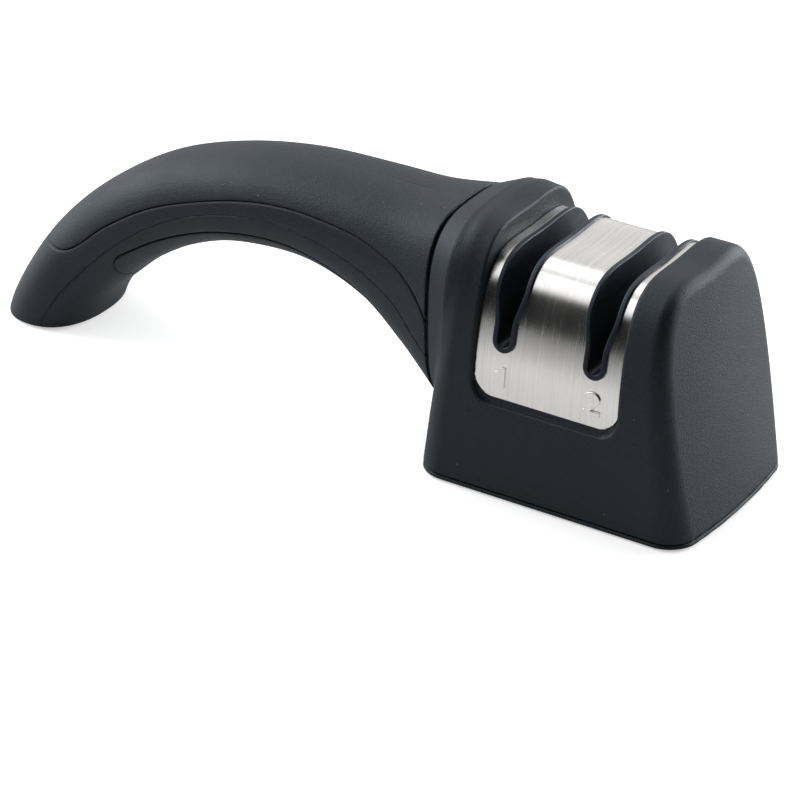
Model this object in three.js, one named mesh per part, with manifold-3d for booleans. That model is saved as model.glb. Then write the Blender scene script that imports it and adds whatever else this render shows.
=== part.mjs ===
// A two-stage hand-held knife sharpener: a block-shaped head with two slots over conical diamond
// wheels, and an arched handle that comes down to the table. Lengths are in millimetres.
// X runs from the handle to the head, Y from the front face to the back, Z up from the table.
import * as THREE from "three";
import { mergeVertices } from "three/addons/utils/BufferGeometryUtils.js";
import Module from "manifold-3d";

const wasm = await Module();
wasm.setup();

// Driving sizes of the head.
const HEAD_LENGTH = 76.8; // between the corners of its ends, at the table
const END_BOW = 2.4; // how far each end bulges past its corners
const END_DRAFT_SHARE = 0.16; // how far each end leans in, as a share of height
const HEAD_DEPTH = 57;
const HEAD_HEIGHT = 65.3; // the crest at the middle of its depth
const CORNER_RADIUS_LOW = 7.3;
const CORNER_RADIUS_HIGH = 3.6;
const CREST_RADIUS = 3.2; // where an end face rolls over into the crest
const WALL_FOOT_HEIGHT = 14.2; // below it the front and back stand straight
const ARCH_PULL_UP = 57.6; // how strongly the arch keeps rising before it bends over
const ARCH_PULL_OUT = 15.8; // how far the flat of the crest reaches to each side
const SHOULDER_CROWN = 4.3; // how much the crest beside the handle stands above the other
const HOUSING_WALL = 2.4;
const SADDLE_WALL = 2.4;

// Clearances, and how far cutting tools run past what they cut.
const SEAT_GAP = 0.3; // between a piece and the one that carries it
const RUNNING_GAP = 0.1; // between the axle and what turns on it
const OVERRUN = 4;

// The steel cover and the slots.
const COVER_THICKNESS = 0.8;
const COVER_HALF_WIDTH = 20.6;
const COVER_BOTTOM = 28.3; // height of its lower edges
const COVER_CORNER = 5.6;
const COVER_SINK_LOW = 1.0; // how deep it lies in the housing at its lower edges
const COVER_SINK_HIGH = 2.4; // and at the crest
const POCKET_DROP = 1.8; // the housing's recess runs on below the cover by this much
const STAGE_SPACING = 25.8;
const STAGE_MIDDLE = -1.1; // X of the middle between the two stages
const SLOT_BOTTOM = 40.8; // height of the lowest point of a slot's rim
const SLOT_LOW_HALF_WIDTH = 3.2;
const SLOT_HIGH_HALF_WIDTH = 4.8;
const SLOT_FLARE_START = 47.6;
const SLOT_FLARE_END = 57;
const LINER_WALL = 1.4;
const LINER_FLANGE_REACH = 0.5; // how far the rim laps over the cover's edge and the gap there
const LINER_RIM_PROUD = 1.0; // low on the faces
const LINER_RIM_PROUD_HIGH = 0.6; // and at the crest

// The sharpening wheels, two to a stage on one axle.
const AXLE_RADIUS = 1.5;
const AXLE_HEIGHT = 38.5;
const WHEEL_RADIUS = 11;
const CONE_SMALL_RADIUS = 5.3;
const BEVEL_ANGLE = 20; // degrees between the wheel's cone and the knife's middle plane
const CONE_WIDTH = 3.8;
const CONE_FACE_GAP = 0.4; // between the two cones of a stage
const CONE_BORE_RADIUS = 4.3;
const HUB_FLANGE_RADIUS = 8;
const HUB_FLANGE_WIDTH = 1.4;
const SPRING_WIRE = 0.8;
const SPRING_RADIUS = 2.9; // to the middle of the wire
const SPRING_TURNS = 3.5;
const CLIP_WIDTH = 0.8;
const CLIP_RADIUS = 3.6;
const CLIP_GAP_ANGLE = 70; // degrees that the clip leaves open

// The carrier that holds the axle.
const CARRIER_WALL = 2;
const CARRIER_HALF_DEPTH = 12;
const CARRIER_TOP_HALF_DEPTH = 6;
const CARRIER_TOP_ABOVE_AXLE = 5;
const CARRIER_FLOOR = 1.8;
const CARRIER_BOSS_HEIGHT = 9;
const AXLE_END = 2.4; // how far the axle stands out of the carrier

// The base: a plate, round rubber feet and screws.
const FOOT_PROUD = 0.4;
const FOOT_THICKNESS = 1.6;
const FOOT_RADIUS = 5;
const FOOT_INSET_X = 15; // from the head's corner to a foot's middle
const FOOT_INSET_Y = 11;
const PLATE_EDGE = 1.1; // the rim of the plate that shows below the housing
const PLATE_THICKNESS = 2.8;
const BASE_SCREW_INSET_X = 8.4;
const BASE_SCREW_INSET_Y = 6.2;
const BASE_BOSS_RADIUS = 3.4;
const BASE_BOSS_HEIGHT = 16;
const SCREW_RADIUS = 1.4;
const SCREW_HEAD_RADIUS = 2.7;
const SCREW_HEAD_HEIGHT = 1.1;
const SCREW_LENGTH = 10; // shank of each screw in the head
const SCREW_SLOT_WIDTH = 0.8;
const SCREW_SLOT_DEPTH = 0.5;
const CARRIER_SCREW_X = 8; // from a stage's middle
const CARRIER_SCREW_CLEARANCE = 1.8; // between the screw's head and the rubber foot beside it

// The handle.
const NECK_X = -38.4; // the flat end of the collar
const NECK_RIM_X = -32.7; // where the collar's flare ends in a soft crease
const NECK_RIM_HALF_WIDTH = 25.2;
const NECK_RIM_HEIGHT = 68;
const NECK_ROOT_X = -28.6; // where it has become the head's shoulder
const NECK_ROOT_HALF_WIDTH = 25.6;
const NECK_ROOT_DEEPER_X = -25.6;
const NECK_WALL = 3.4;
const NECK_SOCKET_X = -33.6; // how far the socket reaches into the head
const COLLAR_GROOVE = 0.8; // the gap between the handle and the collar
const HANDLE_REACH = 143.8; // from the collar to the tip, at the table
const HANDLE_TOP = 66.7; // height of its upper line at the collar
const HANDLE_HALF_WIDTH = 16;
const GRIP_THICKNESS = 2;
const SHELL_WALL = 2.2;
const TIP_FLOOR_HEIGHT = 0.5; // the shells end this far above the table
const PAD_INSET = 2.4;
const PAD_THICKNESS = 2.8;
const TIP_WALL = 2.6;
const HANDLE_SCREW_LENGTH = 11;
const HANDLE_POST_RADIUS = 3.6;
const HANDLE_SCREW_SINK = 3; // from the soft grip's bed to the seat of a screw's head
const NECK_SCREW_DROP = 9.2; // from the handle's upper line at the collar to the upper screw
const NECK_SCREW_RISE = 8.3; // from its lower line there to the lower screw
const NECK_POST_RADIUS = 4;

// The handle's upper and lower lines, hand-chosen: share of the reach, share of HANDLE_TOP.
const UPPER_LINE_SHARES = [
  [0, 1],
  [0.1, 0.975],
  [0.216, 0.979],
  [0.364, 0.973],
  [0.512, 0.916],
  [0.659, 0.805],
  [0.788, 0.628],
  [0.882, 0.438],
  [0.948, 0.237],
  [0.996, 0.034],
  [1.011, -0.139],
];
const LOWER_LINE_SHARES = [
  [0, 0.196],
  [0.079, 0.358],
  [0.169, 0.507],
  [0.299, 0.588],
  [0.452, 0.571],
  [0.566, 0.492],
  [0.661, 0.372],
  [0.734, 0.238],
  [0.788, 0.118],
  [0.819, -0.027],
  [0.813, -0.193],
];
// Half widths at the same stations, as shares of HANDLE_HALF_WIDTH.
const WIDTH_SHARES = [1.38, 1.225, 1.113, 1.025, 0.994, 0.988, 1.019, 1.063, 1.138, 1.144, 1.113];
// How square the section is at the same stations: 2 is an ellipse.
const SQUARENESS_SHARES = [3.2, 2.95, 2.65, 2.4, 2.3, 2.3, 2.3, 2.3, 2.3, 2.3, 2.3];

// Lines along the handle: share of its stations, share of the section's half height.
const TOP_GRIP_SEAM_SHARES = [
  [-0.02, -0.3],
  [0.0, -0.1],
  [0.03, 0.12],
  [0.06, 0.28],
  [0.1, 0.4],
  [0.17, 0.45],
  [0.25, 0.42],
  [0.34, 0.35],
  [0.43, 0.25],
  [0.51, 0.23],
  [0.6, 0.22],
  [0.65, 0.2],
  [0.683, 0.27],
  [0.702, 0.42],
  [0.716, 0.65],
  [0.732, 0.92],
  [0.75, 1.3],
];
const UNDER_GRIP_SEAM_SHARES = [
  [0.05, -1.3],
  [0.062, -0.95],
  [0.085, -0.75],
  [0.13, -0.66],
  [0.2, -0.61],
  [0.28, -0.52],
  [0.35, -0.47],
  [0.42, -0.51],
  [0.5, -0.53],
  [0.58, -0.52],
  [0.62, -0.51],
  [0.642, -0.6],
  [0.66, -0.78],
  [0.678, -1.0],
  [0.69, -1.3],
];
const PARTING_SHARES = [
  [-0.08, -0.4],
  [0, -0.38],
  [0.05, -0.3],
  [0.1, -0.12],
  [0.17, -0.07],
  [0.25, -0.03],
  [0.35, 0],
  [0.44, -0.07],
  [0.52, -0.17],
  [0.63, -0.27],
  [0.76, -0.31],
  [0.89, -0.28],
  [1, -0.25],
];
const HANDLE_SCREW_SHARES = [0.2, 0.38, 0.55]; // stations of the handle's screws

// How finely curves are divided.
const ARCH_STEPS = 16;
const INNER_STEPS = 9;
const CORNER_STEPS = 4;
const HANDLE_STEPS = 26;
const HANDLE_SIDES = 24;
const HOLLOW_STEPS = 12;
const ROUND_SIDES = 24;
const SCREW_SIDES = 12;
const SEAM_STEPS = 32;

// Sizes that follow.
const HALF_DEPTH = HEAD_DEPTH / 2;
const STAGE_X = [STAGE_MIDDLE - STAGE_SPACING / 2, STAGE_MIDDLE + STAGE_SPACING / 2];
const HOUSING_FLOOR = FOOT_PROUD + PLATE_EDGE + SEAT_GAP;
const PLATE_TOP = FOOT_PROUD + PLATE_THICKNESS;
const SHELL_INSET = GRIP_THICKNESS + SEAT_GAP;
const FOOT_INNER_EDGE = HALF_DEPTH - FOOT_INSET_Y - FOOT_RADIUS;
const CARRIER_SCREW_Y = FOOT_INNER_EDGE - CARRIER_SCREW_CLEARANCE - SCREW_HEAD_RADIUS;
const CONE_OUTER = CONE_FACE_GAP / 2 + CONE_WIDTH;
const HUB_OUTER = CONE_OUTER + SEAT_GAP / 2 + HUB_FLANGE_WIDTH;
const WALL_FROM_STAGE = STAGE_SPACING / 2 - CARRIER_WALL / 2;

const blackPlastic = { color: 0x24282e, roughness: 0.55, metalness: 0 };
const linerPlastic = { color: 0x15171b, roughness: 0.4, metalness: 0 };
const softRubber = { color: 0x2c3138, roughness: 0.8, metalness: 0 };
const brushedSteel = { color: 0xc9c7c4, roughness: 0.3, metalness: 1 };
const brightSteel = { color: 0xb9bbbd, roughness: 0.25, metalness: 1 };
const diamondCoat = { color: 0x8f8a80, roughness: 0.9, metalness: 0.4 };
const paleNylon = { color: 0xd8d5cb, roughness: 0.5, metalness: 0 };
const greyPlastic = { color: 0x4a4d52, roughness: 0.6, metalness: 0 };

// A geometry's points as one solid that can be cut and joined.
function solidOf(geometry) {
  const bare = geometry.clone();
  bare.deleteAttribute("normal");
  bare.deleteAttribute("uv");
  const merged = mergeVertices(bare);
  const mesh = new wasm.Mesh({
    numProp: 3,
    vertProperties: merged.attributes.position.array,
    triVerts: new Uint32Array(merged.index.array),
  });
  return new wasm.Manifold(mesh);
}

function geometryOf(solid) {
  const mesh = solid.getMesh();
  const geometry = new THREE.BufferGeometry();
  geometry.setAttribute("position", new THREE.BufferAttribute(mesh.vertProperties, 3));
  geometry.setIndex(new THREE.BufferAttribute(mesh.triVerts, 1));
  const faceted = geometry.toNonIndexed();
  faceted.computeVertexNormals();
  return faceted;
}

// Joins rings of the same count into a closed skin, with a fan over each end.
function loft(rings) {
  const count = rings[0].length;
  const points = rings.flat();
  const first = points.length;
  for (const ring of [rings[0], rings[rings.length - 1]]) {
    const middle = new THREE.Vector3();
    for (const point of ring) middle.add(point);
    points.push(middle.divideScalar(count));
  }
  const faces = [];
  for (let j = 0; j < count; j++) {
    const next = (j + 1) % count;
    const last = (rings.length - 1) * count;
    faces.push(first, next, j);
    faces.push(first + 1, last + j, last + next);
    for (let i = 0; i < rings.length - 1; i++) {
      const a = i * count;
      const b = a + count;
      faces.push(a + j, a + next, b + next);
      faces.push(a + j, b + next, b + j);
    }
  }
  const geometry = new THREE.BufferGeometry();
  geometry.setFromPoints(points);
  geometry.setIndex(faces);
  const solid = solidOf(geometry);
  if (solid.volume() > 0) return solid;
  const turned = [];
  for (let i = 0; i < faces.length; i += 3) turned.push(faces[i], faces[i + 2], faces[i + 1]);
  geometry.setIndex(turned);
  return solidOf(geometry);
}

// An outline drawn in X and Z, carried along Y from one side of the part to the other.
function acrossDepth(outline, halfReach) {
  const shape = new THREE.Shape(outline.map(([x, z]) => new THREE.Vector2(x, z)));
  const geometry = new THREE.ExtrudeGeometry(shape, { depth: 2 * halfReach, bevelEnabled: false });
  geometry.rotateX(Math.PI / 2);
  geometry.translate(0, halfReach, 0);
  return solidOf(geometry);
}

// An outline drawn in Y and Z, carried along X.
function alongLength(outline, fromX, toX) {
  const shape = new THREE.Shape(outline.map(([y, z]) => new THREE.Vector2(y, z)));
  const geometry = new THREE.ExtrudeGeometry(shape, { depth: toX - fromX, bevelEnabled: false });
  geometry.rotateX(Math.PI / 2);
  geometry.rotateZ(Math.PI / 2);
  geometry.translate(fromX, 0, 0);
  return solidOf(geometry);
}

function block(fromX, toX, fromY, toY, fromZ, toZ) {
  const geometry = new THREE.BoxGeometry(toX - fromX, toY - fromY, toZ - fromZ);
  geometry.translate((fromX + toX) / 2, (fromY + toY) / 2, (fromZ + toZ) / 2);
  return solidOf(geometry);
}

// A straight round bar between two points.
function bar(radius, from, to, sides = SCREW_SIDES) {
  const length = from.distanceTo(to);
  const geometry = new THREE.CylinderGeometry(radius, radius, length, sides);
  const direction = to.clone().sub(from).normalize();
  geometry.applyQuaternion(
    new THREE.Quaternion().setFromUnitVectors(new THREE.Vector3(0, 1, 0), direction),
  );
  const middle = from.clone().add(to).multiplyScalar(0.5);
  geometry.translate(middle.x, middle.y, middle.z);
  return solidOf(geometry);
}

// A shape turned about the axle: pairs of radius and distance along X, closed on itself.
function turned(profile, centreX, facing) {
  const points = [...profile, profile[0]].map(([radius, along]) => new THREE.Vector2(radius, along));
  const geometry = new THREE.LatheGeometry(points, ROUND_SIDES);
  geometry.rotateZ((-facing * Math.PI) / 2);
  geometry.translate(centreX, 0, AXLE_HEIGHT);
  return solidOf(geometry);
}

function smooth(share) {
  const s = Math.min(Math.max(share, 0), 1);
  return s * s * (3 - 2 * s);
}

// The head's half depth and height along its arch, from the table (0) to the crest (1), moved
// inwards by inset, which may be a function of height.
const arch = new THREE.CubicBezierCurve(
  new THREE.Vector2(HALF_DEPTH, WALL_FOOT_HEIGHT),
  new THREE.Vector2(HALF_DEPTH, WALL_FOOT_HEIGHT + ARCH_PULL_UP),
  new THREE.Vector2(ARCH_PULL_OUT, HEAD_HEIGHT),
  new THREE.Vector2(0, HEAD_HEIGHT),
);

function archPoint(share, inset) {
  const point = arch.getPoint(share);
  const along = arch.getTangent(share);
  const depth = typeof inset === "function" ? inset(point.y) : inset;
  return new THREE.Vector2(point.x - along.y * depth, point.y + along.x * depth);
}

function archPoints(inset, steps = ARCH_STEPS) {
  const points = [];
  for (let i = 0; i <= steps; i++) points.push(archPoint(i / steps, inset));
  return points;
}

// The whole arch, front and back, as a block along X down to below the table.
function archBlock(inset, fromX, toX) {
  const half = archPoints(inset);
  const foot = [half[0].x, -OVERRUN];
  const right = [foot, ...half.map((p) => [p.x, p.y])];
  const left = right.slice(0, -1).reverse().map(([y, z]) => [-y, z]);
  return alongLength([...right, ...left], fromX, toX);
}

function halfLengthAt(z) {
  const intoCrest = Math.max(0, z - (HEAD_HEIGHT - CREST_RADIUS));
  const drop = Math.min(intoCrest, CREST_RADIUS);
  const roll = CREST_RADIUS - Math.sqrt(CREST_RADIUS ** 2 - drop ** 2);
  return HEAD_LENGTH / 2 - END_DRAFT_SHARE * z - roll;
}

// One level outline of the head: rounded corners and bowed ends.
function headRing(halfDepth, z, inset) {
  const halfLength = halfLengthAt(z) - inset;
  const depth = Math.max(halfDepth, CREST_RADIUS / 4);
  const share = Math.min(z / HEAD_HEIGHT, 1);
  const wanted = CORNER_RADIUS_LOW + (CORNER_RADIUS_HIGH - CORNER_RADIUS_LOW) * share - inset / 2;
  const radius = Math.min(wanted, depth * 0.98);
  const quarter = [];
  const sideShares = [0, 0.6, 0.8];
  for (const part of sideShares) quarter.push([part * (halfLength - radius), -depth]);
  for (let i = 0; i <= CORNER_STEPS; i++) {
    const angle = (i / CORNER_STEPS) * (Math.PI / 2);
    const y = -depth + radius - radius * Math.cos(angle);
    quarter.push([halfLength - radius + radius * Math.sin(angle), y]);
  }
  const endShares = [0.55, 0];
  for (const part of endShares) quarter.push([halfLength, -part * (depth - radius)]);
  const bowed = quarter.map(([x, y]) => {
    const along = Math.max(0, (x - halfLength + radius) / radius);
    return [x + END_BOW * along * (1 - (y / depth) ** 2), y];
  });
  const right = [...bowed, ...bowed.slice(0, -1).reverse().map(([x, y]) => [x, -y])];
  const left = right.slice(1, -1).reverse().map(([x, y]) => [-x, y]);
  return [...right, ...left].map(([x, y]) => new THREE.Vector3(x, y, z));
}

// The crest rises a little beside the handle.
function crowned(point) {
  const shoulderReach = HEAD_LENGTH / 2 - COVER_HALF_WIDTH - CREST_RADIUS;
  const towardsHandle = smooth((-point.x - COVER_HALF_WIDTH) / shoulderReach);
  const nearCrest = smooth((point.z / HEAD_HEIGHT - 0.78) / 0.22);
  const middle = 1 - (point.y / HALF_DEPTH) ** 4;
  if (point.x < 0) point.z += SHOULDER_CROWN * (0.8 + 0.2 * towardsHandle) * nearCrest * middle;
  return point;
}

function headSolid() {
  const foot = headRing(HALF_DEPTH, HOUSING_FLOOR, 0);
  const rings = archPoints(0).map((p) => headRing(p.x, p.y, 0).map(crowned));
  return loft([foot, ...rings]);
}

// The hollow inside: thin walls low down, and room for the saddle under the crest.
function headHollow() {
  const crestInset = COVER_SINK_HIGH + COVER_THICKNESS + SEAT_GAP + SADDLE_WALL;
  const inset = (z) => HOUSING_WALL + (crestInset - HOUSING_WALL) * smooth(z / HEAD_HEIGHT);
  const rings = archPoints(inset, INNER_STEPS).map((p) => headRing(p.x, p.y, HOUSING_WALL));
  const foot = headRing(HALF_DEPTH - HOUSING_WALL, -OVERRUN, HOUSING_WALL);
  return loft([foot, ...rings]);
}

// The steel cover's outline as seen from the front, grown by a margin, up past the crest.
function coverOutline(margin, bottom) {
  const half = COVER_HALF_WIDTH + margin;
  const top = HEAD_HEIGHT + SHOULDER_CROWN + OVERRUN;
  const outline = [];
  for (const side of [-1, 1]) {
    for (let i = 0; i <= CORNER_STEPS; i++) {
      const step = side < 0 ? i : CORNER_STEPS - i;
      const angle = (step / CORNER_STEPS) * (Math.PI / 2);
      const x = half - COVER_CORNER + COVER_CORNER * Math.cos(angle);
      outline.push([STAGE_MIDDLE + side * x, bottom + COVER_CORNER - COVER_CORNER * Math.sin(angle)]);
    }
  }
  outline.push([STAGE_MIDDLE + half, top]);
  outline.push([STAGE_MIDDLE - half, top]);
  return outline;
}

function coverSink(z) {
  const rise = smooth((z - COVER_BOTTOM) / (HEAD_HEIGHT - COVER_BOTTOM));
  return COVER_SINK_LOW + (COVER_SINK_HIGH - COVER_SINK_LOW) * rise;
}

// Half the width of a slot's rim at a height.
function slotHalfWidth(z) {
  const flare = smooth((z - SLOT_FLARE_START) / (SLOT_FLARE_END - SLOT_FLARE_START));
  return SLOT_LOW_HALF_WIDTH + (SLOT_HIGH_HALF_WIDTH - SLOT_LOW_HALF_WIDTH) * flare;
}

// A slot seen from the front: a round foot, straight sides, a flare, and open above the crest.
function slotPrism(stageX, inset) {
  const radius = SLOT_LOW_HALF_WIDTH - inset;
  const centre = SLOT_BOTTOM + SLOT_LOW_HALF_WIDTH;
  const top = HEAD_HEIGHT + OVERRUN;
  const side = [];
  for (let i = 0; i < CORNER_STEPS; i++) {
    const angle = (i / CORNER_STEPS) * (Math.PI / 2);
    side.push([radius * Math.sin(angle), centre - radius * Math.cos(angle)]);
  }
  side.push([radius, centre]);
  const flareSteps = CORNER_STEPS + 2;
  for (let i = 0; i <= flareSteps; i++) {
    const z = SLOT_FLARE_START + ((SLOT_FLARE_END - SLOT_FLARE_START) * i) / flareSteps;
    side.push([slotHalfWidth(z) - inset, z]);
  }
  side.push([slotHalfWidth(top) - inset, top]);
  const other = side.slice(1).reverse().map(([x, z]) => [-x, z]);
  return acrossDepth([...side, ...other].map(([x, z]) => [stageX + x, z]), HALF_DEPTH + OVERRUN);
}

// Where the liner's body passes through the cover and the saddle.
const LINER_BODY_INSET = LINER_FLANGE_REACH;
const PASSAGE_INSET = LINER_FLANGE_REACH - SEAT_GAP;

function saddleCut() {
  const seat = (z) => coverSink(z) + COVER_THICKNESS + SEAT_GAP;
  const reach = HEAD_LENGTH;
  const recess = acrossDepth(coverOutline(SEAT_GAP, COVER_BOTTOM - POCKET_DROP), HALF_DEPTH + OVERRUN);
  return recess.subtract(archBlock(seat, -reach, reach));
}

// A section of the collar: half width, lowest and highest point, at one X.
function neckRing(x, halfWidth, low, high, squareness = SQUARENESS_SHARES[0]) {
  const ring = [];
  for (let j = 0; j < HANDLE_SIDES; j++) {
    const [across, up] = sectionPoint(j, squareness);
    ring.push(new THREE.Vector3(x, halfWidth * across, (low + high) / 2 + ((high - low) / 2) * up));
  }
  return ring;
}

function sectionPoint(index, squareness) {
  const angle = (index / HANDLE_SIDES) * 2 * Math.PI;
  const shaped = (value) => Math.sign(value) * Math.abs(value) ** (2 / squareness);
  return [shaped(Math.cos(angle)), shaped(Math.sin(angle))];
}

const NECK_LOW = HANDLE_TOP * LOWER_LINE_SHARES[0][1];
const NECK_HALF_WIDTH = HANDLE_HALF_WIDTH * WIDTH_SHARES[0];
const ROOT_HIGH = HEAD_HEIGHT + SHOULDER_CROWN - SEAT_GAP;

function collarSolid() {
  return loft([
    neckRing(NECK_X, NECK_HALF_WIDTH, NECK_LOW, HANDLE_TOP),
    neckRing(NECK_RIM_X, NECK_RIM_HALF_WIDTH, NECK_LOW, NECK_RIM_HEIGHT),
    neckRing(NECK_ROOT_X, NECK_ROOT_HALF_WIDTH, NECK_LOW, ROOT_HIGH),
    neckRing(NECK_ROOT_DEEPER_X, NECK_ROOT_HALF_WIDTH - NECK_WALL, NECK_LOW, ROOT_HIGH - NECK_WALL),
  ]);
}

// The room that the handle's end needs before the collar's flat face.
function collarRelief() {
  const halfWidth = NECK_HALF_WIDTH + COLLAR_GROOVE;
  const ring = (x) => neckRing(x, halfWidth, NECK_LOW - COLLAR_GROOVE, HANDLE_TOP + COLLAR_GROOVE);
  return loft([ring(NECK_X - OVERRUN), ring(NECK_X)]);
}

function neckSocket(inset) {
  return loft([
    neckRing(NECK_X - OVERRUN, NECK_HALF_WIDTH - inset, NECK_LOW + inset, HANDLE_TOP - inset),
    neckRing(NECK_SOCKET_X, NECK_HALF_WIDTH - inset, NECK_LOW + inset, HANDLE_TOP - inset),
  ]);
}

// Places of the screws that hold the base plate, and of the feet.
function corners(insetX, insetY) {
  const places = [];
  for (const sideX of [-1, 1]) {
    for (const sideY of [-1, 1]) {
      places.push([sideX * (HEAD_LENGTH / 2 - insetX), sideY * (HALF_DEPTH - insetY)]);
    }
  }
  return places;
}

const neckScrewHeights = [HANDLE_TOP - NECK_SCREW_DROP, NECK_LOW + NECK_SCREW_RISE];
const NECK_SCREW_SEAT_X = NECK_SOCKET_X + HOUSING_WALL;

// The wall between the collar's socket and the inside of the head.
function bulkhead() {
  const low = NECK_LOW - HOUSING_WALL;
  const high = HANDLE_TOP - NECK_WALL;
  const half = NECK_HALF_WIDTH;
  return block(NECK_SOCKET_X, NECK_SCREW_SEAT_X, -half, half, low, high).intersect(headSolid());
}

function headHousing() {
  let solid = headSolid().subtract(collarRelief()).add(collarSolid());
  solid = solid.subtract(headHollow());
  solid = solid.add(bulkhead());
  for (const [x, y] of corners(BASE_SCREW_INSET_X, BASE_SCREW_INSET_Y)) {
    const low = new THREE.Vector3(x, y, PLATE_TOP + SEAT_GAP);
    const high = new THREE.Vector3(x, y, PLATE_TOP + SEAT_GAP + BASE_BOSS_HEIGHT);
    solid = solid.add(bar(BASE_BOSS_RADIUS, low, high));
  }
  solid = solid.subtract(saddleCut());
  solid = solid.subtract(neckSocket(NECK_WALL));
  for (const [x, y] of corners(BASE_SCREW_INSET_X, BASE_SCREW_INSET_Y)) {
    const low = new THREE.Vector3(x, y, 0);
    const high = new THREE.Vector3(x, y, PLATE_TOP + SCREW_LENGTH);
    solid = solid.subtract(bar(SCREW_RADIUS + SEAT_GAP, low, high));
  }
  for (const stageX of STAGE_X) solid = solid.subtract(slotPrism(stageX, PASSAGE_INSET));
  for (const z of neckScrewHeights) {
    const outside = new THREE.Vector3(NECK_SOCKET_X - OVERRUN, 0, z);
    const seat = new THREE.Vector3(NECK_SCREW_SEAT_X, 0, z);
    const inside = new THREE.Vector3(STAGE_MIDDLE - COVER_HALF_WIDTH - HOUSING_WALL, 0, z);
    solid = solid.subtract(bar(SCREW_RADIUS + SEAT_GAP, outside, inside));
    solid = solid.subtract(bar(SCREW_HEAD_RADIUS + SEAT_GAP, seat, inside));
  }
  return solid;
}

function steelCover() {
  const under = (z) => coverSink(z) + COVER_THICKNESS;
  const reach = HEAD_LENGTH;
  let solid = acrossDepth(coverOutline(0, COVER_BOTTOM), HALF_DEPTH + OVERRUN);
  solid = solid.intersect(archBlock(coverSink, -reach, reach));
  solid = solid.subtract(archBlock(under, -reach, reach));
  for (const stageX of STAGE_X) solid = solid.subtract(slotPrism(stageX, PASSAGE_INSET));
  return solid;
}

// A moulded channel with a rounded rim that laps over the cover's edge.
function slotLiner(stageX) {
  const reach = HEAD_LENGTH;
  const lessProud = LINER_RIM_PROUD - LINER_RIM_PROUD_HIGH;
  const rimTop = (z) => coverSink(z) - LINER_RIM_PROUD + lessProud * smooth(z / HEAD_HEIGHT);
  const rimBed = (z) => coverSink(z) - SEAT_GAP;
  const outside = archBlock(rimTop, -reach, reach);
  const rim = slotPrism(stageX, 0).intersect(outside).subtract(archBlock(rimBed, -reach, reach));
  const body = slotPrism(stageX, LINER_BODY_INSET).intersect(outside);
  const wheelRoom = block(
    stageX - WALL_FROM_STAGE,
    stageX + WALL_FROM_STAGE,
    -(WHEEL_RADIUS + 3 * SEAT_GAP),
    WHEEL_RADIUS + 3 * SEAT_GAP,
    0,
    AXLE_HEIGHT + WHEEL_RADIUS + 3 * SEAT_GAP,
  );
  return rim.add(body).subtract(slotPrism(stageX, LINER_WALL)).subtract(wheelRoom);
}

function basePlate() {
  const level = (z, inset) => headRing(HALF_DEPTH - inset, z, inset);
  const rim = loft([level(FOOT_PROUD, 0), level(FOOT_PROUD + PLATE_EDGE, 0)]);
  const step = HOUSING_WALL + SEAT_GAP;
  let solid = rim.add(loft([level(FOOT_PROUD + PLATE_EDGE / 2, step), level(PLATE_TOP, step)]));
  for (const [x, y] of corners(FOOT_INSET_X, FOOT_INSET_Y)) {
    const low = new THREE.Vector3(x, y, 0);
    const high = new THREE.Vector3(x, y, FOOT_THICKNESS + SEAT_GAP);
    solid = solid.subtract(bar(FOOT_RADIUS + SEAT_GAP, low, high, ROUND_SIDES));
  }
  const screwPlaces = [...corners(BASE_SCREW_INSET_X, BASE_SCREW_INSET_Y), ...carrierScrewPlaces()];
  for (const [x, y] of screwPlaces) {
    solid = solid.subtract(screwHole(x, y));
  }
  return solid;
}

const SCREW_SEAT = FOOT_PROUD + SEAT_GAP + SCREW_HEAD_HEIGHT;

// A stepped hole from below, for a screw whose head sinks into the plate.
function screwHole(x, y) {
  const bottom = new THREE.Vector3(x, y, 0);
  const seat = new THREE.Vector3(x, y, SCREW_SEAT + SEAT_GAP);
  const top = new THREE.Vector3(x, y, PLATE_TOP + OVERRUN);
  return bar(SCREW_HEAD_RADIUS + SEAT_GAP, bottom, seat).add(bar(SCREW_RADIUS + SEAT_GAP, bottom, top));
}

// A slotted screw: the head's outer face at one point, the shank running towards a direction.
function screw(face, direction, length) {
  const at = (distance) => face.clone().addScaledVector(direction, distance);
  const head = bar(SCREW_HEAD_RADIUS, face, at(SCREW_HEAD_HEIGHT));
  const shank = bar(SCREW_RADIUS, at(SCREW_HEAD_HEIGHT / 2), at(SCREW_HEAD_HEIGHT + length));
  const groove = new THREE.BoxGeometry(SCREW_SLOT_WIDTH, 2 * SCREW_SLOT_DEPTH, 3 * SCREW_HEAD_RADIUS);
  groove.applyQuaternion(
    new THREE.Quaternion().setFromUnitVectors(new THREE.Vector3(0, 1, 0), direction),
  );
  groove.translate(face.x, face.y, face.z);
  return head.add(shank).subtract(solidOf(groove));
}

function baseScrew(x, y) {
  const face = new THREE.Vector3(x, y, SCREW_SEAT - SCREW_HEAD_HEIGHT);
  return screw(face, new THREE.Vector3(0, 0, 1), SCREW_LENGTH);
}

function carrierScrewPlaces() {
  const places = [];
  for (const [index, stageX] of STAGE_X.entries()) {
    const outwards = index === 0 ? -1 : 1;
    const x = stageX + outwards * CARRIER_SCREW_X;
    for (const side of [-1, 1]) places.push([x, side * CARRIER_SCREW_Y]);
  }
  return places;
}

function foot(x, y) {
  const low = new THREE.Vector3(x, y, 0);
  const high = new THREE.Vector3(x, y, FOOT_THICKNESS);
  return bar(FOOT_RADIUS, low, high, ROUND_SIDES);
}

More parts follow.
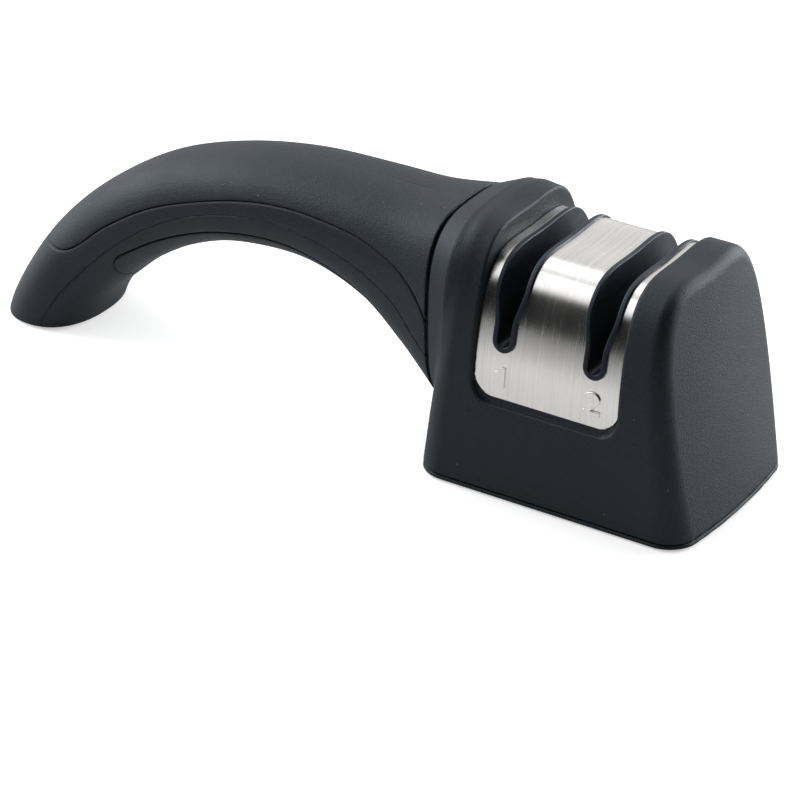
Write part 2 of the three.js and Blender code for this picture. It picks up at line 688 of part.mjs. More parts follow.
// A floor with three upright walls, which hold the axle.
function wheelCarrier() {
  const floorLow = PLATE_TOP + SEAT_GAP;
  const floorHigh = floorLow + CARRIER_FLOOR;
  const end = STAGE_SPACING / 2 + WALL_FROM_STAGE + CARRIER_WALL;
  let solid = block(
    STAGE_MIDDLE - end,
    STAGE_MIDDLE + end,
    -CARRIER_HALF_DEPTH,
    CARRIER_HALF_DEPTH,
    floorLow,
    floorHigh,
  );
  const top = AXLE_HEIGHT + CARRIER_TOP_ABOVE_AXLE;
  const wall = [
    [-CARRIER_HALF_DEPTH, floorLow],
    [CARRIER_HALF_DEPTH, floorLow],
    [CARRIER_HALF_DEPTH, floorHigh + CARRIER_BOSS_HEIGHT],
    [CARRIER_TOP_HALF_DEPTH, AXLE_HEIGHT],
    [CARRIER_TOP_HALF_DEPTH / 2, top],
    [-CARRIER_TOP_HALF_DEPTH / 2, top],
    [-CARRIER_TOP_HALF_DEPTH, AXLE_HEIGHT],
    [-CARRIER_HALF_DEPTH, floorHigh + CARRIER_BOSS_HEIGHT],
  ];
  const starts = [-end, -CARRIER_WALL / 2, end - CARRIER_WALL];
  for (const start of starts) {
    const x = STAGE_MIDDLE + start;
    solid = solid.add(alongLength(wall, x, x + CARRIER_WALL));
  }
  for (const [x, y] of carrierScrewPlaces()) {
    const low = new THREE.Vector3(x, y, floorLow);
    const high = new THREE.Vector3(x, y, floorLow + CARRIER_BOSS_HEIGHT);
    solid = solid.add(bar(BASE_BOSS_RADIUS, low, high));
  }
  for (const [x, y] of carrierScrewPlaces()) {
    const low = new THREE.Vector3(x, y, 0);
    const high = new THREE.Vector3(x, y, floorLow + CARRIER_BOSS_HEIGHT + OVERRUN);
    solid = solid.subtract(bar(SCREW_RADIUS + SEAT_GAP, low, high));
  }
  const from = new THREE.Vector3(-HEAD_LENGTH, 0, AXLE_HEIGHT);
  const to = new THREE.Vector3(HEAD_LENGTH, 0, AXLE_HEIGHT);
  return solid.subtract(bar(AXLE_RADIUS + RUNNING_GAP, from, to, ROUND_SIDES));
}

const AXLE_HALF_LENGTH = STAGE_SPACING / 2 + WALL_FROM_STAGE + CARRIER_WALL + AXLE_END;

function axle() {
  const from = new THREE.Vector3(STAGE_MIDDLE - AXLE_HALF_LENGTH, 0, AXLE_HEIGHT);
  const to = new THREE.Vector3(STAGE_MIDDLE + AXLE_HALF_LENGTH, 0, AXLE_HEIGHT);
  return bar(AXLE_RADIUS, from, to, ROUND_SIDES);
}

// The diamond-coated ring: a cone that faces its partner, then a straight rim.
function cuttingCone(stageX, facing) {
  const near = CONE_FACE_GAP / 2;
  const rise = WHEEL_RADIUS - CONE_SMALL_RADIUS;
  const bevel = near + rise * Math.tan(THREE.MathUtils.degToRad(BEVEL_ANGLE));
  const profile = [
    [CONE_BORE_RADIUS, near],
    [CONE_SMALL_RADIUS, near],
    [WHEEL_RADIUS, bevel],
    [WHEEL_RADIUS, CONE_OUTER],
    [CONE_BORE_RADIUS, CONE_OUTER],
  ];
  return turned(profile, stageX, facing);
}

function wheelHub(stageX, facing) {
  const near = CONE_FACE_GAP / 2;
  const bore = AXLE_RADIUS + RUNNING_GAP;
  const stub = CONE_BORE_RADIUS - SEAT_GAP;
  const flange = CONE_OUTER + SEAT_GAP / 2;
  const profile = [
    [bore, near],
    [stub, near],
    [stub, flange],
    [HUB_FLANGE_RADIUS, flange],
    [HUB_FLANGE_RADIUS, HUB_OUTER],
    [bore, HUB_OUTER],
  ];
  return turned(profile, stageX, facing);
}

// The spring's wire runs round the axle between the hub and the carrier's wall.
class SpringPath extends THREE.Curve {
  constructor(startX, endX) {
    super();
    this.startX = startX;
    this.endX = endX;
  }

  getPoint(share) {
    const angle = share * SPRING_TURNS * 2 * Math.PI;
    const x = this.startX + (this.endX - this.startX) * share;
    const y = SPRING_RADIUS * Math.cos(angle);
    return new THREE.Vector3(x, y, AXLE_HEIGHT + SPRING_RADIUS * Math.sin(angle));
  }
}

function pushSpring(stageX, facing) {
  const margin = SEAT_GAP + SPRING_WIRE / 2;
  const start = stageX + facing * (HUB_OUTER + margin);
  const end = stageX + facing * (WALL_FROM_STAGE - margin);
  const wire = new THREE.Shape();
  const sides = 5;
  for (let i = 0; i < sides; i++) {
    const angle = (i / sides) * 2 * Math.PI;
    const x = (SPRING_WIRE / 2) * Math.cos(angle);
    const y = (SPRING_WIRE / 2) * Math.sin(angle);
    if (i === 0) wire.moveTo(x, y);
    else wire.lineTo(x, y);
  }
  const geometry = new THREE.ExtrudeGeometry(wire, {
    steps: 8 * SPRING_TURNS,
    extrudePath: new SpringPath(start, end),
  });
  return solidOf(geometry);
}

// An open ring that snaps onto the axle outside the carrier.
function axleClip(side) {
  const ring = new THREE.Shape();
  const open = THREE.MathUtils.degToRad(CLIP_GAP_ANGLE / 2);
  const inner = AXLE_RADIUS + RUNNING_GAP;
  ring.absarc(0, 0, CLIP_RADIUS, -Math.PI / 2 + open, (3 * Math.PI) / 2 - open, false);
  ring.absarc(0, 0, inner, (3 * Math.PI) / 2 - open, -Math.PI / 2 + open, true);
  const geometry = new THREE.ExtrudeGeometry(ring, {
    depth: CLIP_WIDTH,
    bevelEnabled: false,
    curveSegments: SCREW_SIDES,
  });
  geometry.rotateX(Math.PI / 2);
  geometry.rotateZ(Math.PI / 2);
  const wall = STAGE_SPACING / 2 + WALL_FROM_STAGE + CARRIER_WALL + SEAT_GAP;
  const start = side > 0 ? STAGE_MIDDLE + wall : STAGE_MIDDLE - wall - CLIP_WIDTH;
  geometry.translate(start, 0, AXLE_HEIGHT);
  return solidOf(geometry);
}

// The handle's stations: a slanted section at each share from the collar (0) to past the tip (1).
function lineOf(shares) {
  return new THREE.SplineCurve(
    shares.map(([along, up]) => new THREE.Vector2(NECK_X - along * HANDLE_REACH, up * HANDLE_TOP)),
  );
}

function valuesOf(shares, unit) {
  return new THREE.SplineCurve(shares.map((value, index) => new THREE.Vector2(index, value * unit)));
}

const upperLine = lineOf(UPPER_LINE_SHARES);
const lowerLine = lineOf(LOWER_LINE_SHARES);
const widths = valuesOf(WIDTH_SHARES, HANDLE_HALF_WIDTH);
const squarenesses = valuesOf(SQUARENESS_SHARES, 1);

function station(share) {
  const s = Math.min(Math.max(share, 0), 1);
  const top = upperLine.getPoint(s);
  const bottom = lowerLine.getPoint(s);
  const middle = top.clone().add(bottom).multiplyScalar(0.5);
  const up = top.clone().sub(bottom).multiplyScalar(0.5);
  const half = up.length();
  if (share < 0) middle.x += -share * HANDLE_REACH;
  const halfWidth = widths.getPoint(s).y;
  return { middle, half, up: up.divideScalar(half), halfWidth, squareness: squarenesses.getPoint(s).y };
}

// A point of the handle's middle plane: share along it, share of the section's half height.
function handlePoint(share, height) {
  const { middle, half, up } = station(share);
  const point = middle.clone().addScaledVector(up, half * height);
  return new THREE.Vector3(point.x, 0, point.y);
}

function handleRing(share, inset) {
  const { middle, half, up, halfWidth, squareness } = station(share);
  const ring = [];
  for (let j = 0; j < HANDLE_SIDES; j++) {
    const [across, high] = sectionPoint(j, squareness);
    const rise = (half - inset) * high;
    const y = (halfWidth - inset) * across;
    ring.push(new THREE.Vector3(middle.x + up.x * rise, y, middle.y + up.y * rise));
  }
  return ring;
}

function handleLoft(inset, steps = HANDLE_STEPS) {
  const from = COLLAR_GROOVE / HANDLE_REACH;
  const rings = [];
  for (let i = 0; i <= steps; i++) rings.push(handleRing(from + ((1 - from) * i) / steps, inset));
  return loft(rings);
}

function aboveHeight(z) {
  const reach = 2 * HANDLE_REACH;
  return block(-reach, reach, -reach, reach, z, reach);
}

// A line on the handle's side, as points in X and Z, moved sideways by an offset.
function seamPath(shares, offset) {
  const curve = new THREE.SplineCurve(shares.map(([along, height]) => new THREE.Vector2(along, height)));
  const path = [];
  for (let i = 0; i <= SEAM_STEPS; i++) {
    const { x, y } = curve.getPoint(i / SEAM_STEPS);
    const point = handlePoint(x, y);
    path.push(new THREE.Vector2(point.x, point.z));
  }
  return path.map((point, i) => {
    const before = path[Math.max(i - 1, 0)];
    const after = path[Math.min(i + 1, path.length - 1)];
    const along = after.clone().sub(before).normalize();
    return [point.x + along.y * offset, point.y - along.x * offset];
  });
}

const SIDE_REACH = 2 * HANDLE_HALF_WIDTH;

// Everything above a seam: the seam, then back along a line well over the handle.
function regionAbove(shares, offset) {
  const path = seamPath(shares, offset);
  const first = path[0];
  const last = path[path.length - 1];
  const top = 2 * HANDLE_TOP;
  const away = last[0] - SIDE_REACH;
  return acrossDepth([...path, [away, last[1]], [away, top], [first[0], top]], SIDE_REACH);
}

function regionBelow(shares, offset) {
  const path = seamPath(shares, offset);
  const first = path[0];
  const last = path[path.length - 1];
  const low = -HANDLE_TOP;
  return acrossDepth([...path, [last[0], low], [first[0], low]], SIDE_REACH);
}

const SOFT_OUTER = handleLoft(0).intersect(aboveHeight(TIP_FLOOR_HEIGHT));
const SOFT_BED = handleLoft(SHELL_INSET);

function topGrip() {
  const region = regionAbove(TOP_GRIP_SEAM_SHARES, 0);
  return SOFT_OUTER.intersect(region).subtract(handleLoft(GRIP_THICKNESS));
}

// The part of the handle's middle plane that lies under the lower grip.
function underRegion(offset) {
  const path = seamPath(UNDER_GRIP_SEAM_SHARES, offset);
  return acrossDepth(path, SIDE_REACH);
}

function underGrip() {
  return SOFT_OUTER.intersect(underRegion(0)).subtract(handleLoft(GRIP_THICKNESS));
}

// Where a handle screw starts, and which way it runs.
function handleScrewAxis(share) {
  const { half, up } = station(share);
  const direction = new THREE.Vector3(up.x, 0, up.y);
  const bed = handlePoint(share, -(half - SHELL_INSET) / half);
  return { direction, face: bed.clone().addScaledVector(direction, HANDLE_SCREW_SINK - SCREW_HEAD_HEIGHT) };
}

function neckPosts() {
  let posts = null;
  for (const z of neckScrewHeights) {
    const near = new THREE.Vector3(NECK_SOCKET_X - SEAT_GAP, 0, z);
    const far = new THREE.Vector3(NECK_X - SCREW_LENGTH, 0, z);
    const post = bar(NECK_POST_RADIUS, near, far);
    posts = posts ? posts.add(post) : post;
  }
  return posts;
}

// The hard core of the handle in one piece, before it is split along its parting line.
function handleCore() {
  const grips = regionAbove(TOP_GRIP_SEAM_SHARES, -SEAT_GAP).add(underRegion(SEAT_GAP));
  let core = SOFT_OUTER.subtract(grips.subtract(SOFT_BED));
  const plugInset = NECK_WALL + SEAT_GAP;
  const plug = neckSocket(plugInset).intersect(
    block(NECK_X - OVERRUN, NECK_SOCKET_X - SEAT_GAP, -SIDE_REACH, SIDE_REACH, 0, 2 * HANDLE_TOP),
  );
  core = core.add(plug);
  const hollowInset = SHELL_INSET + SHELL_WALL;
  const hollow = handleLoft(hollowInset, HOLLOW_STEPS).intersect(aboveHeight(PAD_THICKNESS + TIP_WALL));
  const plugHollow = neckSocket(plugInset + SHELL_WALL);
  core = core.subtract(hollow).subtract(plugHollow);
  for (const share of HANDLE_SCREW_SHARES) {
    const post = bar(HANDLE_POST_RADIUS, handlePoint(share, -1), handlePoint(share, 1));
    core = core.add(post.intersect(handleLoft(SHELL_INSET + SHELL_WALL / 2)));
  }
  core = core.add(neckPosts().intersect(plug.add(handleLoft(hollowInset - SHELL_WALL / 2))));
  for (const share of HANDLE_SCREW_SHARES) {
    const { face, direction } = handleScrewAxis(share);
    const at = (distance) => face.clone().addScaledVector(direction, distance);
    const seat = SCREW_HEAD_HEIGHT + SEAT_GAP;
    core = core.subtract(bar(SCREW_HEAD_RADIUS + SEAT_GAP, at(-2 * HANDLE_SCREW_SINK), at(seat)));
    core = core.subtract(bar(SCREW_RADIUS + SEAT_GAP, face, at(seat + HANDLE_SCREW_LENGTH)));
  }
  for (const z of neckScrewHeights) {
    const near = new THREE.Vector3(0, 0, z);
    const far = new THREE.Vector3(NECK_SCREW_SEAT_X - SCREW_LENGTH - SEAT_GAP, 0, z);
    core = core.subtract(bar(SCREW_RADIUS + SEAT_GAP, near, far));
  }
  return core.subtract(handleLoft(PAD_INSET - SEAT_GAP).intersect(belowHeight(PAD_THICKNESS + SEAT_GAP)));
}

function belowHeight(z) {
  const reach = 2 * HANDLE_REACH;
  return block(-reach, reach, -reach, reach, -reach, z);
}

function tipPad() {
  const slab = belowHeight(PAD_THICKNESS).intersect(aboveHeight(0));
  return handleLoft(PAD_INSET).intersect(slab);
}

const group = new THREE.Group();

function place(name, solid, finish) {
  const mesh = new THREE.Mesh(geometryOf(solid), new THREE.MeshStandardMaterial(finish));
  mesh.name = name;
  group.add(mesh);
}

place("head_housing", headHousing(), blackPlastic);
place("steel_cover", steelCover(), brushedSteel);
place("base_plate", basePlate(), blackPlastic);
place("wheel_carrier", wheelCarrier(), greyPlastic);
place("axle", axle(), brightSteel);
for (const [index, stageX] of STAGE_X.entries()) {
  const stage = index + 1;
  place(`slot_liner_${stage}`, slotLiner(stageX), linerPlastic);
  for (const [side, facing] of [["left", -1], ["right", 1]]) {
    place(`diamond_cone_${stage}_${side}`, cuttingCone(stageX, facing), diamondCoat);
    place(`wheel_hub_${stage}_${side}`, wheelHub(stageX, facing), paleNylon);
    place(`wheel_spring_${stage}_${side}`, pushSpring(stageX, facing), brightSteel);
  }
}
place("axle_clip_left", axleClip(-1), brightSteel);
place("axle_clip_right", axleClip(1), brightSteel);
for (const [index, [x, y]] of corners(BASE_SCREW_INSET_X, BASE_SCREW_INSET_Y).entries()) {
  place(`base_screw_${index + 1}`, baseScrew(x, y), brightSteel);
}
for (const [index, [x, y]] of carrierScrewPlaces().entries()) {
  place(`carrier_screw_${index + 1}`, baseScrew(x, y), brightSteel);
}
for (const [index, [x, y]] of corners(FOOT_INSET_X, FOOT_INSET_Y).entries()) {
  place(`rubber_foot_${index + 1}`, foot(x, y), softRubber);
}

const core = handleCore();
place("handle_upper_shell", core.intersect(regionAbove(PARTING_SHARES, SEAT_GAP / 2)), blackPlastic);
place("handle_lower_shell", core.intersect(regionBelow(PARTING_SHARES, -SEAT_GAP / 2)), blackPlastic);
place("top_grip", topGrip(), softRubber);
place("under_grip", underGrip(), softRubber);
place("tip_pad", tipPad(), softRubber);
for (const [index, share] of HANDLE_SCREW_SHARES.entries()) {
  const { face, direction } = handleScrewAxis(share);
  place(`handle_screw_${index + 1}`, screw(face, direction, HANDLE_SCREW_LENGTH), brightSteel);
}
for (const [index, z] of neckScrewHeights.entries()) {
  const face = new THREE.Vector3(NECK_SCREW_SEAT_X + SEAT_GAP + SCREW_HEAD_HEIGHT, 0, z);
  place(`neck_screw_${index + 1}`, screw(face, new THREE.Vector3(-1, 0, 0), SCREW_LENGTH), brightSteel);
}

// The origin is the middle of the part's box, on the table.
const box = new THREE.Box3().setFromObject(group);
const middle = box.getCenter(new THREE.Vector3());
group.position.set(-middle.x, -middle.y, -box.min.z);

export default group;
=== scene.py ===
# %% [markdown]
# # A two-stage knife sharpener
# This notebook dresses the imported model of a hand-held knife sharpener: a block-shaped head with an
# arched steel cover and two slots over diamond wheels, and an arched handle with soft grips.
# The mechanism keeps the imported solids. The moulded skins that the eye rests on are built here again
# from the same sizes, much finer and with soft edges, because a hard crease is what gives a moulding away.

import math
import bpy
import numpy as np
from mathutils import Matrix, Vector


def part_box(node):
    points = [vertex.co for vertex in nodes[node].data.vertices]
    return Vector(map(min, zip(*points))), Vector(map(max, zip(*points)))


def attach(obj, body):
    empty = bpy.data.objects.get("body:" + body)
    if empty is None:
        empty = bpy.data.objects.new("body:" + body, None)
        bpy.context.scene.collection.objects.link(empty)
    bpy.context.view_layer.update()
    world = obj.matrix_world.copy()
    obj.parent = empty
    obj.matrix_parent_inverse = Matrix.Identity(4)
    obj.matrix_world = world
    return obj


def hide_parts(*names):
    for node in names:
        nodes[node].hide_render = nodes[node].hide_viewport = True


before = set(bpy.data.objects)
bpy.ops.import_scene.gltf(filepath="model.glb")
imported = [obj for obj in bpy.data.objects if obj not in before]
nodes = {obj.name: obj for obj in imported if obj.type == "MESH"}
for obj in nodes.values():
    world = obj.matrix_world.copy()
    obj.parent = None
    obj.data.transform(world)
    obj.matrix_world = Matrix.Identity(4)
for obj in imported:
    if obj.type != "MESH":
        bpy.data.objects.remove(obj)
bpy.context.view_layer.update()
plate_low, plate_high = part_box("base_plate")
HEAD_MIDDLE = 500 * (plate_low.x + plate_high.x)  # where the head's middle lies along X, in millimetres

# %% [markdown]
# ## Shapes as distance fields
# The skins are all rounded where they meet: the head's corners, the lip of each grip, the rim of each
# slot. Bevelling a cut mesh breaks down on edges that curve in two directions, so each skin is written
# as a distance field instead: a function that says how far a point is outside the solid. Two fields
# are cut or joined with a round edge of any radius by a few lines of arithmetic. Lengths in the fields
# are millimetres, with X counted from the head's middle.

# %% Arithmetic of fields
def smooth(share):
    share = np.clip(share, 0, 1)
    return share * share * (3 - 2 * share)


def meet(a, b, radius):
    """What two solids have in common, with the edge between them rounded."""
    u = a + radius
    v = b + radius
    return np.minimum(np.maximum(u, v), 0) + np.hypot(np.maximum(u, 0), np.maximum(v, 0)) - radius


def unite(a, b, radius):
    """Two solids as one, with a hollow fillet between them."""
    return -meet(-a, -b, radius)


# %% [markdown]
# A curve or an outline that lies in one plane is measured once on a fine level grid. The field then
# looks the distance up between grid points, which is quick even for millions of points.

# %% Level tables
class LevelTable:
    """A measure of a plane, taken at the points of a level grid and looked up between them."""

    def __init__(self, low, high, step, measure):
        self.low = low
        self.step = step
        first = np.arange(low[0], high[0] + step, step)[:, None]
        second = np.arange(low[1], high[1] + step, step)[None, :]
        self.values = measure(first, second)

    def __call__(self, a, b):
        values = self.values
        i = np.clip((a - self.low[0]) / self.step, 0, values.shape[0] - 1.001)
        j = np.clip((b - self.low[1]) / self.step, 0, values.shape[1] - 1.001)
        i0 = i.astype(np.int32)
        j0 = j.astype(np.int32)
        s = i - i0
        t = j - j0
        near = values[i0, j0] * (1 - t) + values[i0, j0 + 1] * t
        far = values[i0 + 1, j0] * (1 - t) + values[i0 + 1, j0 + 1] * t
        return near * (1 - s) + far * s


def outline_distance(points):
    """A measure for a closed outline: the distance to it, negative inside."""
    corners = np.asarray(points, float)

    def measure(a, b):
        shape = np.broadcast_shapes(np.shape(a), np.shape(b))
        best = np.full(shape, np.inf)
        inside = np.zeros(shape, bool)
        for p, q in zip(corners, np.roll(corners, -1, axis=0)):
            edge = q - p
            share = np.clip(((a - p[0]) * edge[0] + (b - p[1]) * edge[1]) / max(edge @ edge, 1e-12), 0, 1)
            gap_a = a - p[0] - share * edge[0]
            gap_b = b - p[1] - share * edge[1]
            best = np.minimum(best, gap_a**2 + gap_b**2)
            if p[1] != q[1]:
                crosses = ((p[1] > b) != (q[1] > b)) & (a < edge[0] * (b - p[1]) / edge[1] + p[0])
                inside ^= crosses
        return np.where(inside, -np.sqrt(best), np.sqrt(best))

    return measure


# %% [markdown]
# A field becomes a mesh by dual contouring: every cell of a grid that the surface passes through gets
# one point, and the cells round each grid edge that crosses the surface share one four-sided face.
# Blender's remesh modifier does something like it, but needs a mesh to start from and blurs its lips.
# These helpers find the crossings, and the slope of a field, which points straight out of the solid.

# %% Slopes and crossings
CORNERS = [(i, j, k) for i in (0, 1) for j in (0, 1) for k in (0, 1)]


def slope(field, p, reach):
    parts = []
    for axis in range(3):
        step = np.zeros(3)
        step[axis] = reach
        parts.append((field(*(p + step).T) - field(*(p - step).T)) / (2 * reach))
    return np.stack(parts, 1)


def unit(v):
    return v / np.maximum(np.linalg.norm(v, axis=1, keepdims=True), 1e-9)


def crossings(values, inside, index, axis):
    """Grid edges along one axis that cross the surface: where, and the four cells round each."""
    u, v = (axis + 1) % 3, (axis + 2) % 3
    core = [slice(1, -1)] * 3
    core[axis] = slice(None)
    grid = inside[tuple(core)]
    lower = np.take(grid, range(grid.shape[axis] - 1), axis)
    upper = np.take(grid, range(1, grid.shape[axis]), axis)
    at = np.argwhere(lower != upper)
    outward = lower[tuple(at.T)]
    ring = []
    for du, dv in ((0, 0), (1, 0), (1, 1), (0, 1)):
        cell = at.copy()
        cell[:, u] += du
        cell[:, v] += dv
        ring.append(index[tuple(cell.T)])
    cells = np.stack(ring, 1)
    cells[~outward] = cells[~outward][:, ::-1]
    near = at.copy()
    near[:, u] += 1
    near[:, v] += 1
    far = near.copy()
    far[:, axis] += 1
    a = values[tuple(near.T)]
    b = values[tuple(far.T)]
    return near + (a / (a - b))[:, None] * (far - near), cells


# %% [markdown]
# A cell's point is placed where the planes of the surface at its crossings meet, so that lips and rims
# come out as clean lines, however they run through the grid. Where those planes are nearly level with
# each other they meet far away or nowhere, and a weak pull holds the point near the crossings' middle.

# %% Meeting points
MIDDLE_PULL = 0.08


def meeting_points(points, normals, cells, count):
    """For each cell the point that lies nearest to all the planes through its crossings."""
    owner = cells.ravel()
    point = np.repeat(points, 4, axis=0)
    normal = np.repeat(normals, 4, axis=0)
    number = np.bincount(owner, minlength=count)[:, None]
    middle = np.stack([np.bincount(owner, point[:, i], count) for i in range(3)], 1) / number
    offset = (normal * (point - middle[owner])).sum(1)
    matrix = np.zeros((count, 3, 3))
    target = np.zeros((count, 3))
    for i in range(3):
        target[:, i] = np.bincount(owner, normal[:, i] * offset, count)
        for j in range(3):
            matrix[:, i, j] = np.bincount(owner, normal[:, i] * normal[:, j], count)
        matrix[:, i, i] += MIDDLE_PULL
    return middle, np.linalg.solve(matrix, target[:, :, None])[:, :, 0]


# %% [markdown]
# Each point is then moved onto the true surface in a few short moves, and the field's own slope is its
# normal, so that even a lip of half a millimetre shades as round.

# %% From field to mesh
STRAY = 0.75  # how far a point may lie from the middle of its crossings, in steps of the grid
SETTLING_ROUNDS = 3
SETTLING_REACH = 0.4  # the longest of these moves, in steps of the grid


def grid_step(fine):
    return fine


def field_mesh(name, field, low, high, step):
    """A closed mesh of the field's surface, in metres in the part's frame."""
    axes = [np.arange(a - 1.5 * step, b + 2.5 * step, step) for a, b in zip(low, high)]
    origin = np.array([axis[0] for axis in axes])
    values = field(axes[0][:, None, None], axes[1][None, :, None], axes[2][None, None, :])
    inside = values < 0
    nx, ny, nz = (n - 1 for n in inside.shape)
    filled = sum(inside[i : nx + i, j : ny + j, k : nz + k].astype(np.int8) for i, j, k in CORNERS)
    active = (filled > 0) & (filled < 8)
    index = np.full(active.shape, -1, np.int32)
    count = int(active.sum())
    index[active] = np.arange(count)
    found = [crossings(values, inside, index, axis) for axis in range(3)]
    at = np.concatenate([f[0] for f in found]) * step + origin
    cells = np.concatenate([f[1] for f in found])
    middle, move = meeting_points(at, unit(slope(field, at, step / 10)), cells, count)
    points = middle + np.clip(move, -STRAY * step, STRAY * step)
    for _ in range(SETTLING_ROUNDS):
        grade = slope(field, points, step / 10)
        move = -(field(*points.T) / np.maximum((grade**2).sum(1), 0.05))[:, None] * grade
        length = np.linalg.norm(move, axis=1, keepdims=True)
        points = points + move * np.minimum(1, SETTLING_REACH * step / np.maximum(length, 1e-9))
    normals = unit(slope(field, points, step / 3))
    mesh = bpy.data.meshes.new(name)
    mesh.vertices.add(count)
    mesh.vertices.foreach_set("co", ((points + [HEAD_MIDDLE, 0, 0]) / 1000).astype(np.float32).ravel())
    mesh.loops.add(4 * len(cells))
    mesh.loops.foreach_set("vertex_index", cells.astype(np.int32).ravel())
    mesh.polygons.add(len(cells))
    mesh.polygons.foreach_set("loop_start", np.arange(0, 4 * len(cells), 4, dtype=np.int32))
    mesh.update(calc_edges=True)
    mesh.validate()
    mesh.polygons.foreach_set("use_smooth", np.ones(len(mesh.polygons), bool))
    mesh.normals_split_custom_set_from_vertices(normals)
    piece = bpy.data.objects.new(name, mesh)
    bpy.context.scene.collection.objects.link(piece)
    print(name, "has", count, "points")
    return piece


def dress(piece, slot, *stands_for):
    """Puts a skin on the part's main body, in place of its plain solids."""
    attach(piece, "sharpener")
    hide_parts(*stands_for)


# %% [markdown]
# ## The head
# The head is a block with straight low walls that bend over into one arch. Its ends lean in a little
# and bulge a little, and every corner is a generous round that narrows towards the crest, which a
# bevel of one width could not do. The arch is one Bezier curve, measured in a table; the ends are a
# leaning plane with a bulge.

# %% The head's arch and ends
HALF_DEPTH = 28.5
HEAD_HEIGHT = 65.3
HEAD_HALF_LENGTH = 38.4
END_BOW = 2.4
END_DRAFT = 0.16
FAR_BELOW = -60
ARCH_CONTROLS = np.array([(HALF_DEPTH, 14.2), (HALF_DEPTH, 71.8), (15.8, HEAD_HEIGHT), (0, HEAD_HEIGHT)])
t = np.linspace(0, 1, 241)[:, None]
arch_line = (
    (1 - t) ** 3 * ARCH_CONTROLS[0]
    + 3 * (1 - t) ** 2 * t * ARCH_CONTROLS[1]
    + 3 * (1 - t) * t**2 * ARCH_CONTROLS[2]
    + t**3 * ARCH_CONTROLS[3]
)
other_side = [(-y, z) for y, z in arch_line[-2::-1]]
arch_outline = [(HALF_DEPTH, FAR_BELOW), *arch_line, *other_side, (-HALF_DEPTH, FAR_BELOW)]
arch_table = LevelTable((0, -12), (44, 84), 0.2, outline_distance(arch_outline))
print("the head is", 2 * HALF_DEPTH, "mm deep and", HEAD_HEIGHT, "mm high at its level crest")


def arch(y, z):
    return arch_table(np.abs(y), z)


def ends(x, y, z):
    across = np.clip(np.abs(y) / HALF_DEPTH, 0, 1)
    reach = HEAD_HALF_LENGTH - END_DRAFT * z + END_BOW * (1 - across**2)
    return (np.abs(x) - reach) / math.hypot(1, END_DRAFT)


# %% [markdown]
# The left shoulder, which carries the handle, rises a few millimetres above the level crest. So the
# head is measured at a lowered height there, which lifts arch and ends together. `meet` then joins
# the two with the round corner.

# %% The shoulder's rise and the corners
CROWN = 4.05  # the height of the rise
CROWN_START = 12.0  # how far left of the head's middle it begins
CROWN_RUN = 6.0
CROWN_FIRST = 0.8  # its share beside the slots; the second share follows further left
CROWN_SECOND = 0.2
SECOND_START = 20.6
SECOND_RUN = 14.6
CROWN_FOOT = 0.78  # the share of the head's height at which the rise fades out
CORNER_RADIUS = 7.3
CORNER_NARROWING = 4.2


def crowned(x, y, z):
    """The height at which the level crest would stand: the left shoulder rises above it."""
    middle = 1 - np.clip(y / HALF_DEPTH, -1, 1) ** 4
    second = CROWN_SECOND * smooth((-x - SECOND_START) / SECOND_RUN)
    side = smooth((-CROWN_START - x) / CROWN_RUN) * (CROWN_FIRST + second)
    level = z
    for _ in range(3):
        level = z - CROWN * side * middle * smooth((level / HEAD_HEIGHT - CROWN_FOOT) / 0.22)
    return level


def head(x, y, z):
    level = crowned(x, y, z)
    radius = CORNER_RADIUS - CORNER_NARROWING * np.clip(z / HEAD_HEIGHT, 0, 1) ** 0.75
    return meet(arch(y, level), ends(x, y, level), radius)


# %% [markdown]
# The handle leaves the head through a collar: a squarish oval that flares towards the head up to a
# crisp crease. From there the shoulder changes softly from that oval to the head's arch, as a mix of
# both fields. A rounded-square section needs no outline: the sum of two powers of the shares of its
# half width and half height is one all along it.

# %% The collar
COLLAR_MOUTH = -38.3
COLLAR_CREASE = -31.6
COLLAR_LOW = 13.1
COLLAR_TOP = 66.7
COLLAR_HALF_WIDTH = 22.1
COLLAR_SQUARENESS = 3.2
FLARE_SIDE = 3.6
FLARE_TOP = 2.5
MOUTH_LIP = 0.3
SHOULDER_RUN = 8.6
SHOULDER_END = -22.5
SHOULDER_FILLET = 1.6


def rounded_square(across, up, half_width, half_height, squareness):
    """The distance to a rounded-square section, near enough close to it."""
    u = np.abs(across) / half_width
    v = np.abs(up) / half_height
    size = np.maximum((u**squareness + v**squareness) ** (1 / squareness), 1e-3)
    slope_u = (u / size) ** (squareness - 1) / half_width
    slope_v = (v / size) ** (squareness - 1) / half_height
    return (size - 1) / np.hypot(slope_u, slope_v)


def collar_section(x, y, z, grow=0.0):
    flare = np.clip((x - COLLAR_MOUTH) / (COLLAR_CREASE - COLLAR_MOUTH), 0, 1)
    half_width = COLLAR_HALF_WIDTH + FLARE_SIDE * flare
    top = COLLAR_TOP + FLARE_TOP * flare
    middle = (top + COLLAR_LOW) / 2
    half_height = (top - COLLAR_LOW) / 2
    return rounded_square(y, z - middle, half_width + grow, half_height + grow, COLLAR_SQUARENESS)


def body(x, y, z):
    """The head with its collar, before anything is cut out."""
    share = smooth((x - COLLAR_CREASE - 0.5) / SHOULDER_RUN)
    section = (1 - share) * collar_section(x, y, z) + share * arch(y, crowned(x, y, z))
    shoulder = np.maximum(meet(section, COLLAR_MOUTH - x, MOUTH_LIP), x - SHOULDER_END)
    return unite(head(x, y, z), shoulder, SHOULDER_FILLET * (1 - share) + 0.001)


print("the collar is", 2 * COLLAR_HALF_WIDTH, "mm wide at its mouth")

